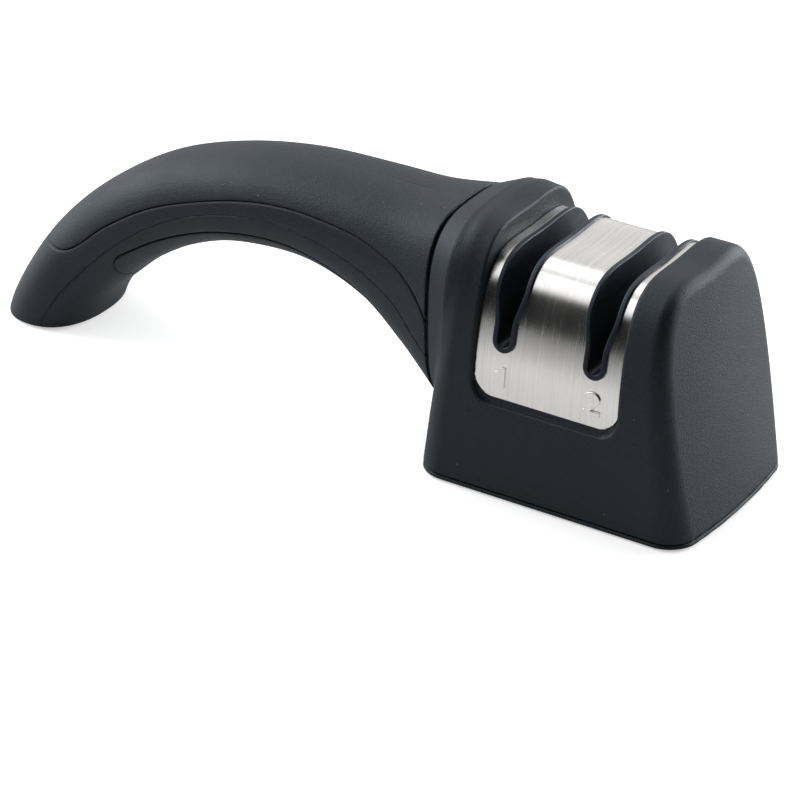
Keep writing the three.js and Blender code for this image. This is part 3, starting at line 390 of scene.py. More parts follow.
# %% [markdown]
# The steel cover lies in a shallow bed between the two ends, and the slots pass through both. The bed
# is what two things have in common: the cover's outline seen from the front, and everything outside
# a depth below the arch that grows towards the crest.

# %% The bed of the cover and the slots
COVER_MIDDLE = -1.1
COVER_HALF_WIDTH = 20.6
COVER_BOTTOM = 28.3
COVER_CORNER = 5.6
SINK_LOW = 1.0
SINK_GROWTH = 1.4
STAGES = (-14.0, 11.8)
SLOT_HALF_WIDTH = 3.2
SLOT_FOOT = 44.0
SLOT_FLARE = 1.6
SLOT_FLARE_START = 47.6
SLOT_FLARE_RUN = 9.4


def cover_outline(x, z, margin, drop=0.0):
    a = np.abs(x - COVER_MIDDLE) - COVER_HALF_WIDTH - margin
    b = COVER_BOTTOM - drop - z
    return meet(a, b, COVER_CORNER)


def cover_sink(z):
    return SINK_LOW + SINK_GROWTH * smooth((z - COVER_BOTTOM) / (HEAD_HEIGHT - COVER_BOTTOM))


def slot(x, z, stage, inset):
    """A slot seen from the front: a round foot, straight sides and a flare towards the crest."""
    half = SLOT_HALF_WIDTH + SLOT_FLARE * smooth((z - SLOT_FLARE_START) / SLOT_FLARE_RUN)
    beside = np.abs(x - stage) - half + inset
    foot = np.hypot(x - stage, np.minimum(z - SLOT_FOOT, 0)) - SLOT_HALF_WIDTH + inset
    return np.where(z < SLOT_FOOT, foot, beside)


def slots(x, z, inset):
    return np.minimum(slot(x, z, STAGES[0], inset), slot(x, z, STAGES[1], inset))


print("the slots stand", STAGES, "mm from the head's middle")

# %% [markdown]
# ## The housing
# The housing is one moulding, hollow from below. Bed, socket and hollow are cut out with the same sizes
# as in the solids, and the two lips that show are rounded: the mouth of the collar, and the edge of the
# cover's bed. Below the cover the bed ends in a shallow ledge, which shows as a second, softer line
# under the steel's edge.

# %% Build the housing
HOUSING_FLOOR = 1.8
FLOOR_LIP = 0.3
COVER_PLAY = 0.1
LEDGE_DROP = 1.8
LEDGE_LIP = 0.8
BED_DEPTH = 1.1
WALL = 2.4
ROOF_GROWTH = 3.5
SEAT_PLAY = 0.8
SOCKET_INSET = 3.4
SOCKET_END = -33.6
HOLLOW_END = -31.2


def housing(x, y, z):
    seat = meet(collar_section(x, y, z, SEAT_PLAY), x - COLLAR_MOUTH, 0.1)
    outer = meet(np.maximum(body(x, y, z), -seat), HOUSING_FLOOR - z, FLOOR_LIP)
    sheet = arch(y, z) + cover_sink(z)
    ledge = np.maximum(cover_outline(x, z, COVER_PLAY, LEDGE_DROP), -(sheet + 0.1))
    outer = meet(outer, -ledge, LEDGE_LIP)
    bed = np.maximum(cover_outline(x, z, COVER_PLAY), -(sheet + BED_DEPTH))
    outer = np.maximum(outer, -bed)
    inset = WALL + ROOF_GROWTH * smooth(z / HEAD_HEIGHT)
    hollow = meet(arch(y, z) + inset, ends(x, y, z) + WALL, 3.0)
    socket = meet(collar_section(x, y, z, -SOCKET_INSET), x - SOCKET_END, 0.3)
    inner = np.minimum(np.maximum(hollow, HOLLOW_END - x), socket)
    return np.maximum(np.maximum(outer, -inner), -slots(x, z, 0.2))


housing_skin = field_mesh("housing_skin", housing, (-41.5, -29, 1), (41.5, 29, 71), grid_step(0.63))
dress(housing_skin, "matte_black_plastic", "head_housing")

# %% [markdown]
# ## The steel cover
# The cover is a thin sheet bent over the arch. Its edges are rounded by a twentieth of a millimetre
# only, but they catch a bright line of light that tells steel from paint. Round the slots the sheet
# runs on under the liners' rims, so that its cut edge is out of sight.

# %% Build the cover
SHEET_THICKNESS = 0.8
SHEET_ROUND = 0.05
UNDER_RIM = 0.7


def cover(x, y, z):
    sheet = arch(y, z) + cover_sink(z)
    piece = meet(cover_outline(x, z, 0.0), sheet, SHEET_ROUND)
    piece = np.maximum(piece, -(sheet + SHEET_THICKNESS))
    return np.maximum(piece, -slots(x, z, UNDER_RIM))


cover_sheet = field_mesh("cover_sheet", cover, (-22, -28, 28), (20, 28, 63.5), grid_step(0.34))
dress(cover_sheet, "cover_steel", "steel_cover")

# %% [markdown]
# Under the slots the steel carries the two stage numerals, embossed from behind by half a millimetre.
# A text object would do, but these are drawn in a few lines to keep their broad, plain form.
# Each is an outline seen from the front, and the numeral is what that outline has in common with a
# thin layer that begins in the sheet and ends above it.

# %% Emboss the numerals
EMBOSSING = 0.5
NUMERAL_ROUND = 0.16
STROKE = 0.75
ONE = [(-14.4, 31.6), (-12.8, 31.6), (-12.8, 36.9), (-13.9, 36.9),
       (-14.5, 36.1), (-15.8, 35.6), (-15.8, 34.5), (-14.4, 34.8)]
TWO_BOW = [(12.05 + 1.5 * math.cos(a), 35.8 + 1.15 * math.sin(a)) for a in np.radians(range(165, -50, -10))]
TWO_STROKE = [*TWO_BOW, (11.3, 33.2), (10.6, 32.2)]
TWO_FOOT = [(9.8, 31.5), (14.4, 31.5), (14.4, 32.8), (9.8, 32.8)]


one = outline_distance(ONE)


def two(x, z):
    nearest = outline_distance(TWO_FOOT)(x, z)
    for p, q in zip(TWO_STROKE, TWO_STROKE[1:]):
        edge = (q[0] - p[0], q[1] - p[1])
        share = ((x - p[0]) * edge[0] + (z - p[1]) * edge[1]) / (edge[0] ** 2 + edge[1] ** 2)
        share = np.clip(share, 0, 1)
        away = np.hypot(x - p[0] - share * edge[0], z - p[1] - share * edge[1])
        nearest = np.minimum(nearest, away - STROKE)
    return nearest


def embossed(shape):
    def field(x, y, z):
        sheet = arch(y, z) + cover_sink(z)
        return meet(meet(shape(x, z), sheet - EMBOSSING, NUMERAL_ROUND), -(sheet + 0.5), 0.05)

    return field


numerals = []
for number, (shape, left) in enumerate(((one, -16.4), (two, 9.2)), 1):
    low = (left, -28, 31)
    high = (left + 5.8, -25, 38.4)
    numeral = field_mesh(f"stage_numeral_{number}", embossed(shape), low, high, grid_step(0.13))
    dress(numeral, "cover_steel")
    numerals.append(numeral)

# %% [markdown]
# ## The slot liners
# Each slot is a black channel whose rim laps over the steel. The rim has a rounded back, which shows
# as a light line all round the slot. Its underside lies a little way into the sheet, so that no
# daylight shows between the two. Inside, the channel leaves room for the wheels.

# %% Build the liners
RIM_RISE = 1.0  # how far the rim stands above the sheet at the foot; it is less at the crest
RIM_LOSS = 0.4
RIM_BELOW = 0.15
RIM_ROUND = 0.3
CHANNEL_OUTSIDE = 0.5
CHANNEL_INSIDE = 1.4
WHEEL_ROOM = 11.9
WHEEL_ROOM_TOP = 50.4


def liner(stage):
    def field(x, y, z):
        sheet = arch(y, z) + cover_sink(z)
        top = sheet - RIM_RISE + RIM_LOSS * smooth(z / HEAD_HEIGHT)
        rim = np.maximum(meet(slot(x, z, stage, 0.0), top, RIM_ROUND), -(sheet + RIM_BELOW))
        channel = meet(slot(x, z, stage, CHANNEL_OUTSIDE), top, RIM_ROUND)
        piece = meet(np.minimum(rim, channel), -slot(x, z, stage, CHANNEL_INSIDE), 0.25)
        room = np.maximum(np.abs(x - stage) - WHEEL_ROOM, np.abs(y) - WHEEL_ROOM)
        return np.maximum(piece, -np.maximum(room, z - WHEEL_ROOM_TOP))

    return field


channels = []
for number, stage in enumerate(STAGES, 1):
    low = (stage - 5.2, -28.5, 40.5)
    high = (stage + 5.2, 28.5, 65)
    channel = field_mesh(f"slot_channel_{number}", liner(stage), low, high, grid_step(0.26))
    dress(channel, "liner_plastic", f"slot_liner_{number}")
    channels.append(channel)

# %% [markdown]
# ## The base
# Below the housing shows the thin edge of the plate that closes it. A step above that edge locates it
# in the housing. Underneath it has round beds for the feet and stepped holes for the screws.

# %% Build the base plate
EDGE_MIDDLE = 0.95
EDGE_HALF = 0.55
STEP_MIDDLE = 2.0
STEP_HALF = 1.2
STEP_INSET = 2.7
FOOT_BED = 5.3
SCREW_BED = 3.0
SCREW_HOLE = 1.7


def stepped_hole(x, y, z):
    """A screw's hole, seen from its middle: narrow above, wide below for the head."""
    away = np.hypot(x, y)
    return np.minimum(np.maximum(away - SCREW_BED, z - 2.1), away - SCREW_HOLE)


def base(x, y, z):
    rim = meet(np.abs(y) - HALF_DEPTH, ends(x, y, z), CORNER_RADIUS)
    edge = meet(rim, np.abs(z - EDGE_MIDDLE) - EDGE_HALF, 0.3)
    step = meet(rim + STEP_INSET, np.abs(z - STEP_MIDDLE) - STEP_HALF, 0.2)
    piece = np.minimum(edge, step)
    for side in (-1, 1):
        for end, carrier_x in ((-1, STAGES[0] - 8), (1, STAGES[1] + 8)):
            foot = np.hypot(x - end * 23.4, y - side * 17.5)
            piece = np.maximum(piece, -np.maximum(foot - FOOT_BED, z - 1.9))
            piece = np.maximum(piece, -stepped_hole(x - end * 30.0, y - side * 22.3, z))
            piece = np.maximum(piece, -stepped_hole(x - carrier_x, y - side * 8.0, z))
    return piece


base_skin = field_mesh("base_skin", base, (-41.5, -29, 0.3), (41.5, 29, 3.4), grid_step(0.5))
dress(base_skin, "matte_black_plastic", "base_plate")

# %% [markdown]
# ## The handle
# The handle is lofted over eleven slanted sections that follow an upper and a lower line. Skinning
# those sections would give a mesh at once, but no clean seams across it. So every point near the handle
# is given to one section: a table holds for each point of the middle plane which section runs through
# it, and the height in that section follows.

# %% The handle's sections
NECK_X = -38.4
REACH = 143.8
TOP = COLLAR_TOP
UPPER_LINE = np.array([(0, 1), (0.1, 0.975), (0.216, 0.979), (0.364, 0.973), (0.512, 0.916), (0.659, 0.805),
                       (0.788, 0.628), (0.882, 0.438), (0.948, 0.237), (0.996, 0.034), (1.011, -0.139)])
LOWER_LINE = np.array([(0, 0.196), (0.079, 0.358), (0.169, 0.507), (0.299, 0.588), (0.452, 0.571),
                       (0.566, 0.492), (0.661, 0.372), (0.734, 0.238), (0.788, 0.118), (0.819, -0.027),
                       (0.813, -0.193)])
WIDTHS = 16 * np.array([1.38, 1.225, 1.113, 1.025, 0.994, 0.988, 1.019, 1.063, 1.138, 1.144, 1.113])
SQUARENESS = np.array([3.2, 2.95, 2.65, 2.4, 2.3, 2.3, 2.3, 2.3, 2.3, 2.3, 2.3])


def through(points, share):
    """A smooth curve through points, at shares of their count."""
    points = np.asarray(points, float)
    last = len(points) - 1
    at = np.clip(share, 0, 1) * last
    i = np.minimum(at.astype(int), last - 1)
    w = (at - i).reshape(-1, *[1] * (points.ndim - 1))
    p0, p1, p2, p3 = (points[np.clip(i + k, 0, last)] for k in (-1, 0, 1, 2))
    a = 0.5 * (p2 - p0)
    b = 0.5 * (p3 - p1)
    return (2 * p1 - 2 * p2 + a + b) * w**3 + (-3 * p1 + 3 * p2 - 2 * a - b) * w**2 + a * w + p1


shares = np.linspace(0, 1, 401)
line_scale = np.array([-REACH, TOP])
upper = through(UPPER_LINE * line_scale, shares) + [NECK_X, 0]
lower = through(LOWER_LINE * line_scale, shares) + [NECK_X, 0]
middles = (upper + lower) / 2
halves = np.linalg.norm(upper - lower, axis=1) / 2
ups = (upper - lower) / (2 * halves[:, None])
half_widths = through(WIDTHS, shares)
squarenesses = through(SQUARENESS, shares)


def section_shares(x, z):
    """For each point of the middle plane the section through it, as a share of the way to the tip."""
    found = np.zeros(np.broadcast_shapes(x.shape, z.shape))
    before = None
    for i, share in enumerate(shares):
        ahead = (middles[i, 0] - x) * ups[i, 1] + (z - middles[i, 1]) * ups[i, 0]
        if before is not None:
            crossed = (before >= 0) & (ahead < 0)
            part = before / np.where(before == ahead, 1, before - ahead)
            found = np.where(crossed, shares[i - 1] + part * (share - shares[i - 1]), found)
        before = ahead
    return np.where(before >= 0, 1.0, found)


def section_frames(at):
    """Where the sections stand: the middle (x, z), the way up (x, z) and half the height of each."""
    return (np.interp(at, shares, values) for values in (*middles.T, *ups.T, halves))


HANDLE_LOW = (-196.0, -14.0)
HANDLE_HIGH = (-28.0, 78.0)
TABLE_STEP = 0.4
share_table = LevelTable(HANDLE_LOW, HANDLE_HIGH, TABLE_STEP, section_shares)


def handle(x, y, z):
    at = share_table(x, z)
    mx, mz, ux, uz, half = section_frames(at)
    height = ((x - mx) * ux + (z - mz) * uz) / half
    width = np.interp(at, shares, half_widths)
    return rounded_square(y, height * half, width, half, np.interp(at, shares, squarenesses))


print("the handle reaches", REACH, "mm from the neck")

# %% [markdown]
# The soft grips end in seams that wander over the handle's side. Each seam is a smooth curve through
# a few points, given by section and by height in the section, and closed into an outline
# far outside the handle, so that a table can tell one side from the other.

# %% The seams
FAR_LEFT = -230
FAR_ABOVE = 130
TOP_SEAM = [(-0.02, -0.3), (0, -0.1), (0.03, 0.12), (0.06, 0.28), (0.1, 0.4), (0.17, 0.45), (0.25, 0.42),
            (0.34, 0.35), (0.43, 0.25), (0.51, 0.23), (0.6, 0.22), (0.65, 0.2), (0.683, 0.27), (0.702, 0.42),
            (0.716, 0.65), (0.732, 0.92), (0.75, 1.3)]
UNDER_SEAM = [(0.05, -1.3), (0.062, -0.95), (0.085, -0.75), (0.13, -0.66), (0.2, -0.61), (0.28, -0.52),
              (0.35, -0.47), (0.42, -0.51), (0.5, -0.53), (0.58, -0.52), (0.62, -0.51), (0.642, -0.6),
              (0.66, -0.78), (0.678, -1.0), (0.69, -1.3)]
PARTING = [(-0.08, -0.4), (0, -0.38), (0.05, -0.3), (0.1, -0.12), (0.17, -0.07), (0.25, -0.03), (0.35, 0),
           (0.44, -0.07), (0.52, -0.17), (0.63, -0.27), (0.76, -0.31), (0.89, -0.28), (1, -0.25)]



def seam_line(points):
    line = through(np.array(points), np.linspace(0, 1, 140))
    mx, mz, ux, uz, half = section_frames(np.clip(line[:, 0], 0, 1))
    before_neck = np.minimum(line[:, 0], 0) * REACH
    return np.stack([mx + ux * half * line[:, 1] - before_neck, mz + uz * half * line[:, 1]], 1)


def seam_table(line, closing):
    outline = [*map(tuple, line), *closing]
    return LevelTable(HANDLE_LOW, HANDLE_HIGH, TABLE_STEP, outline_distance(outline))


def above(line):
    """The table of all that lies above a seam that runs from the neck to the tip."""
    return seam_table(line, [(FAR_LEFT, line[-1][1]), (FAR_LEFT, FAR_ABOVE), (line[0][0], FAR_ABOVE)])


top_line = seam_line(TOP_SEAM)
above_top_seam = above(top_line)
under_line = seam_line(UNDER_SEAM)
within_under_seam = seam_table(under_line, [(under_line[-1][0], FAR_BELOW), (under_line[0][0], FAR_BELOW)])
above_parting = above(seam_line(PARTING))
print("the top seam runs from", top_line[0].round(1), "to", top_line[-1].round(1))

# %% [markdown]
# ## Grips and shells
# Both grips are two millimetres of soft rubber with a well-rounded lip. They lie in beds of the hard
# shells, and the shells' own lips are rounded as well, so that each seam is a soft valley with a dark
# line at its bottom, as between two mouldings.

# %% Build the grips
GRIP_LIP = 0.35
GRIP_THICKNESS = 2.0
HANDLE_START = -39.4
NECK_LIP = 0.25
HANDLE_STEP = grid_step(0.55)


def top_grip(x, y, z):
    outer = handle(x, y, z)
    piece = meet(outer, above_top_seam(x, z), GRIP_LIP)
    piece = meet(piece, x - HANDLE_START, NECK_LIP)
    return np.maximum(piece, -(outer + GRIP_THICKNESS))


def under_grip(x, y, z):
    outer = handle(x, y, z)
    piece = meet(outer, within_under_seam(x, z), GRIP_LIP)
    return np.maximum(piece, -(outer + GRIP_THICKNESS))


grip_skin = field_mesh("top_grip_skin", top_grip, (-172, -23, 22), (-38.5, 23, 68), HANDLE_STEP)
dress(grip_skin, "soft_rubber", "top_grip")
under_skin = field_mesh("under_grip_skin", under_grip, (-152, -22, 8), (-38.5, 22, 56), HANDLE_STEP)
dress(under_skin, "soft_rubber", "under_grip")

# %% [markdown]
# The two hard shells meet at a fine parting line. They end in a ring that plugs into the collar's
# socket. It closes the narrow seam between head and handle, which would otherwise let light through.

# %% The ring in the socket
PLUG_INSET = 3.8
PLUG_WALL = 2.2
PLUG_START = -41.0
PLUG_END = -33.9
LIP_INSET = 1.1
LIP_START = -39.6
LIP_END = -38.35


def neck_plug(x, y, z):
    ring = collar_section(COLLAR_MOUTH, y, z, -PLUG_INSET)
    ring = np.maximum(ring, np.maximum(x - PLUG_END, PLUG_START - x))
    lip = collar_section(COLLAR_MOUTH, y, z, -LIP_INSET)
    lip = np.maximum(lip, np.maximum(x - LIP_END, LIP_START - x))
    bore = collar_section(COLLAR_MOUTH, y, z, -PLUG_INSET - PLUG_WALL)
    return np.maximum(np.minimum(ring, lip), -bore)


print("the ring is", round(PLUG_END - PLUG_START, 1), "mm long")

# %% [markdown]
# The shells are hollow. Their inside lies four and a half millimetres below the handle's outside,
# which leaves two millimetres of wall under the grips. At the tip they have a bed for the pad that
# stands on the table.

# %% Build the shells
SHELL_LIP = 0.7
SHELL_WALL = 4.5
GRIP_BED = 2.3
SEAM_GAP = 0.15
TIP_BOTTOM = 0.5
HOLLOW_BOTTOM = 5.4
PAD_INSET = 2.1
PAD_TOP = 3.1
PARTING_GAP = 0.02
PARTING_LIP = 0.12


def handle_core(x, y, z):
    outer = handle(x, y, z)
    bed = np.minimum(above_top_seam(x, z), within_under_seam(x, z)) - SEAM_GAP
    piece = meet(outer, np.minimum(-bed, outer + GRIP_BED), SHELL_LIP)
    piece = meet(piece, x - HANDLE_START, NECK_LIP)
    piece = meet(piece, TIP_BOTTOM - z, 0.3)
    hollow = np.maximum(outer + SHELL_WALL, HOLLOW_BOTTOM - z)
    pad = np.maximum(outer + PAD_INSET, z - PAD_TOP)
    shell = np.maximum(np.maximum(piece, -hollow), -pad)
    return np.minimum(shell, neck_plug(x, y, z))


def upper_shell(x, y, z):
    return meet(handle_core(x, y, z), above_parting(x, z) + PARTING_GAP, PARTING_LIP)


def lower_shell(x, y, z):
    return meet(handle_core(x, y, z), PARTING_GAP - above_parting(x, z), PARTING_LIP)


upper_skin = field_mesh("upper_shell_skin", upper_shell, (-185, -23, 0), (-33, 23, 68), HANDLE_STEP)
dress(upper_skin, "matte_black_plastic", "handle_upper_shell")
lower_skin = field_mesh("lower_shell_skin", lower_shell, (-185, -23, 0), (-33, 23, 56), HANDLE_STEP)
dress(lower_skin, "matte_black_plastic", "handle_lower_shell")

# %% [markdown]
# ## Small pieces that keep their solids
# The feet, pad, screws, clips, springs, axle and wheels are turned or punched pieces whose solids are
# right as they are. Real ones have broken edges, so each gets a small bevel, and flat faces keep flat
# shading beside it. The springs are round wire and only need smooth shading.

# %% Break the edges of the small pieces
SHARP_FROM = 32  # degrees between two faces that count as an edge
SOFT_EDGE = 0.35
HARD_EDGE = 0.12
SHOWN_SOLIDS = sorted(n for n, piece in nodes.items() if not piece.hide_render)
for node in SHOWN_SOLIDS:
    piece = nodes[node]
    for face in piece.data.polygons:
        face.use_smooth = True
    if "spring" in node:
        continue
    bevel = piece.modifiers.new("broken edges", "BEVEL")
    bevel.width = (SOFT_EDGE if "foot" in node or "pad" in node else HARD_EDGE) / 1000
    bevel.segments = 2
    bevel.limit_method = "ANGLE"
    bevel.angle_limit = math.radians(SHARP_FROM)
    bevel.harden_normals = True
print(len(SHOWN_SOLIDS), "solids keep their own shape")

# %% [markdown]
# ## Finishes
# Every finish is a small node tree: a base colour that wanders a little, a roughness that wanders with
# it, and a bump for the grain. Wiring nodes by hand takes many lines, so a helper gives each kind of
# node one short word. The world and the floor use it later too.

# %% A helper for node trees
class Tree:
    def __init__(self, owner):
        owner.use_nodes = True
        self.tree = owner.node_tree

    def node(self, kind, **settings):
        made = self.tree.nodes.new(kind)
        for key, value in settings.items():
            setattr(made, key, value)
        return made

    def link(self, source, target):
        self.tree.links.new(source, target)

    def arithmetic(self, operation, first, second=0):
        made = self.node("ShaderNodeMath", operation=operation)
        for socket, value in zip(made.inputs, (first, second)):
            if isinstance(value, (int, float)):
                socket.default_value = value
            else:
                self.link(value, socket)
        return made.outputs["Value"]

    def between(self, value, low, high, from_low=0.3, from_high=0.7):
        made = self.node("ShaderNodeMapRange")
        made.inputs["From Min"].default_value = from_low
        made.inputs["From Max"].default_value = from_high
        made.inputs["To Min"].default_value = low
        made.inputs["To Max"].default_value = high
        self.link(value, made.inputs["Value"])
        return made.outputs["Result"]

    def ramp(self, value, stops):
        made = self.node("ShaderNodeValToRGB")
        elements = made.color_ramp.elements
        while len(elements) < len(stops):
            elements.new(0.5)
        for element, (position, colour) in zip(elements, stops):
            element.position = position
            element.color = (*colour, 1)
        self.link(value, made.inputs["Fac"])
        return made.outputs["Color"]


# %% [markdown]
# A finish adds what only a surface needs. Its patterns are read from object coordinates in metres, so
# that a grain of a third of a millimetre has that size on every piece. What is the same all over a
# surface stays a plain number on the shader.

# %% A helper for finishes
class Finish(Tree):
    def __init__(self, name, colour, roughness, metallic=0.0, specular=0.5):
        self.material = bpy.data.materials.new(name)
        super().__init__(self.material)
        self.shader = self.tree.nodes["Principled BSDF"]
        self.shader.inputs["Base Color"].default_value = (*colour, 1)
        self.shader.inputs["Roughness"].default_value = roughness
        self.shader.inputs["Metallic"].default_value = metallic
        self.shader.inputs["Specular IOR Level"].default_value = specular
        self.place = self.node("ShaderNodeTexCoord").outputs["Object"]
        print("finish:", name)

    def stretched(self, scale):
        mapping = self.node("ShaderNodeMapping")
        mapping.inputs["Scale"].default_value = scale
        self.link(self.place, mapping.inputs["Vector"])
        return mapping.outputs["Vector"]

    def noise(self, scale, detail=2.0, vector=None, roughness=0.5):
        made = self.node("ShaderNodeTexNoise")
        made.inputs["Scale"].default_value = scale
        made.inputs["Detail"].default_value = detail
        made.inputs["Roughness"].default_value = roughness
        self.link(vector or self.place, made.inputs["Vector"])
        return made.outputs["Fac"]

    def cells(self, scale):
        """Random cells: how far each point is from its cell's middle, and two random shares per cell."""
        made = self.node("ShaderNodeTexVoronoi")
        made.inputs["Scale"].default_value = scale
        self.link(self.place, made.inputs["Vector"])
        split = self.node("ShaderNodeSeparateColor")
        self.link(made.outputs["Color"], split.inputs["Color"])
        return made.outputs["Distance"], split.outputs["Red"], split.outputs["Green"]

    def mixed(self, share, first, second):
        made = self.node("ShaderNodeMix", data_type="RGBA")
        self.link(share, made.inputs["Factor"])
        for socket, value in ((made.inputs[6], first), (made.inputs[7], second)):
            if isinstance(value, tuple):
                socket.default_value = (*value, 1)
            else:
                self.link(value, socket)
        return made.outputs[2]

    def bump(self, height, strength, distance, before=None):
        made = self.node("ShaderNodeBump")
        made.inputs["Strength"].default_value = strength
        made.inputs["Distance"].default_value = distance
        self.link(height, made.inputs["Height"])
        if before:
            self.link(before, made.inputs["Normal"])
        return made.outputs["Normal"]

    def finish(self, colour, rough, normal):
        """Plugs the three patterns into the shader and hands over the material."""
        self.link(colour, self.shader.inputs["Base Color"])
        self.link(rough, self.shader.inputs["Roughness"])
        self.link(normal, self.shader.inputs["Normal"])
        return self.material


# %% [markdown]
# The housing and the handle's shells are moulded in a tool with a spark-eroded surface. It leaves an
# even grain of about a third of a millimetre that scatters light, so black plastic looks charcoal where
# light grazes it. The rubber of the grips is much the same, a shade paler, and a fine groove runs along
# its middle, where the two halves of its mould met. A few specks of pale dust have settled on both.

# %% Moulded plastic and soft rubber
COOL_GLOSS = (0.8, 0.91, 1.0, 1)


def dust(finish, scale, size):
    """Sparse specks: the middles of a few random cells."""
    distance, chance, _ = finish.cells(scale)
    near = finish.between(distance, 1.0, 0.0, size * 0.4, size)
    return finish.arithmetic("MULTIPLY", near, finish.between(chance, 0.0, 1.0, 0.9, 0.94))


def grained(name, dark, light, roughness, specular, grain, depth, dust_colour, mould_line=None):
    made = Finish(name, dark, roughness, specular=specular)
    made.shader.inputs["Specular Tint"].default_value = COOL_GLOSS
    fine = made.noise(grain, 3.0, roughness=0.6)
    broad = made.noise(60, 3.0)
    tone = made.mixed(made.between(broad, 0.0, 1.0), dark, light)
    speckled = made.mixed(made.between(fine, 0.0, 0.55, 0.5, 0.72), tone, tuple(2.2 * c for c in light))
    colour = made.mixed(dust(made, 420, 0.12), speckled, dust_colour)
    rough = made.between(broad, roughness - 0.04, roughness + 0.05)
    normal = made.bump(fine, 0.55, depth)
    if mould_line is not None:
        split = made.node("ShaderNodeSeparateXYZ")
        made.link(made.place, split.inputs["Vector"])
        away = made.arithmetic("ABSOLUTE", made.arithmetic("SUBTRACT", split.outputs["Y"], mould_line))
        normal = made.bump(made.between(away, 0.0, 1.0, 0.00004, 0.0003), 0.8, 0.00012, normal)
    return made.finish(colour, rough, normal)


moulded_plastic = grained(
    "moulded_plastic",
    dark=(0.0062, 0.0088, 0.0118),
    light=(0.008, 0.0112, 0.0148),
    roughness=0.54,
    specular=0.27,
    grain=2600,
    depth=0.0003,
    dust_colour=(0.07, 0.08, 0.09),
)
soft_rubber = grained(
    "soft_rubber",
    dark=(0.0076, 0.0106, 0.0142),
    light=(0.0098, 0.0134, 0.0176),
    roughness=0.56,
    specular=0.3,
    grain=2300,
    depth=0.0004,
    dust_colour=(0.1, 0.11, 0.12),
    mould_line=0.0,
)

# %% [markdown]
# The liners and the sharpener's inner parts are smoother. The wheel carrier and the hubs are plain
# nylon, and the cones carry a coat of diamond grit whose crystals glint one by one: each random cell
# of a Voronoi pattern is one crystal, with a colour and a roughness of its own.

# %% Inner finishes
def plain_moulding(name, colour, roughness, specular, wave=0.1):
    made = Finish(name, colour, roughness, specular=specular)
    made.shader.inputs["Specular Tint"].default_value = COOL_GLOSS
    lighter = tuple(min(1.0, c * (1 + wave)) for c in colour)
    tone = made.mixed(made.between(made.noise(90, 2.0), 0.0, 1.0), colour, lighter)
    rough = made.between(made.noise(500, 2.0), roughness - 0.05, roughness + 0.06)
    return made.finish(tone, rough, made.bump(made.noise(1400, 2.0), 0.15, 0.00003))


def grit_coat():
    made = Finish("diamond_grit", (0.2, 0.19, 0.17), 0.6, metallic=0.55)
    distance, first, second = made.cells(6500)
    stops = ((0.0, (0.1, 0.095, 0.085)), (0.7, (0.24, 0.225, 0.2)), (1.0, (0.7, 0.68, 0.62)))
    tone = made.ramp(second, stops)
    rough = made.between(first, 0.25, 0.8, 0.0, 1.0)
    return made.finish(tone, rough, made.bump(distance, 0.8, 0.00012))


liner_gloss = plain_moulding("liner_gloss", (0.006, 0.0088, 0.0145), 0.42, 0.3, 0.3)
carrier_nylon = plain_moulding("carrier_nylon", (0.05, 0.053, 0.058), 0.5, 0.4)
hub_nylon = plain_moulding("hub_nylon", (0.62, 0.6, 0.54), 0.45, 0.45, 0.06)
diamond_grit = grit_coat()

# %% [markdown]
# Axle, clips, springs and screws are bright turned or drawn steel, with faint streaks along them. The
# cover is brushed stainless steel. The brush ran over the arch from front to back, so the scratches
# are long in that direction and a tenth of a millimetre wide across it. They stretch every highlight
# sideways into a band. The shader does that with its anisotropy, and the scratches themselves are
# noise stretched by a mapping node.

# %% Turned and brushed steel
def turned_steel():
    made = Finish("turned_steel", (0.56, 0.56, 0.57), 0.28, metallic=1.0)
    streaks = made.noise(900, 3.0, made.stretched((1, 12, 12)))
    tone = made.mixed(made.between(streaks, 0.0, 1.0), (0.5, 0.5, 0.51), (0.62, 0.62, 0.63))
    return made.finish(tone, made.between(streaks, 0.22, 0.4), made.bump(streaks, 0.1, 0.00002))


def brushed_cover():
    made = Finish("brushed_steel", (0.6, 0.59, 0.575), 0.27, metallic=1.0)
    made.shader.inputs["Anisotropic"].default_value = 0.7
    made.shader.inputs["Anisotropic Rotation"].default_value = 0.25
    tangent = made.node("ShaderNodeTangent", direction_type="RADIAL", axis="X")
    made.link(tangent.outputs["Tangent"], made.shader.inputs["Tangent"])
    scratches = made.noise(1.0, 4.0, made.stretched((5200, 55, 55)), 0.65)
    wide = made.noise(1.0, 2.0, made.stretched((1100, 18, 18)))
    tone = made.mixed(made.between(scratches, 0.0, 1.0), (0.52, 0.51, 0.495), (0.68, 0.67, 0.655))
    colour = made.mixed(made.between(wide, 0.0, 0.35), tone, (0.7, 0.685, 0.66))
    cloud = made.between(made.noise(70, 2.0), -0.02, 0.03)
    rough = made.arithmetic("ADD", made.between(scratches, 0.19, 0.27), cloud)
    return made.finish(colour, rough, made.bump(wide, 0.03, 0.00002, made.bump(scratches, 0.08, 0.00001)))


bright_steel = turned_steel()
brushed_steel = brushed_cover()

# %% [markdown]
# Every piece now gets its finish. The small solids are told apart by how their names begin; what is on
# no list is bright steel.

# %% Hand out the finishes
WORN_BY_SKINS = (
    (moulded_plastic, (housing_skin, base_skin, upper_skin, lower_skin)),
    (soft_rubber, (grip_skin, under_skin)),
    (brushed_steel, (cover_sheet, *numerals)),
    (liner_gloss, channels),
)
INNER_FINISHES = {
    "diamond_cone": diamond_grit,
    "wheel_hub": hub_nylon,
    "wheel_carrier": carrier_nylon,
    "rubber_foot": soft_rubber,
    "tip_pad": soft_rubber,
}


def wear(piece, material):
    piece.data.materials.clear()
    piece.data.materials.append(material)


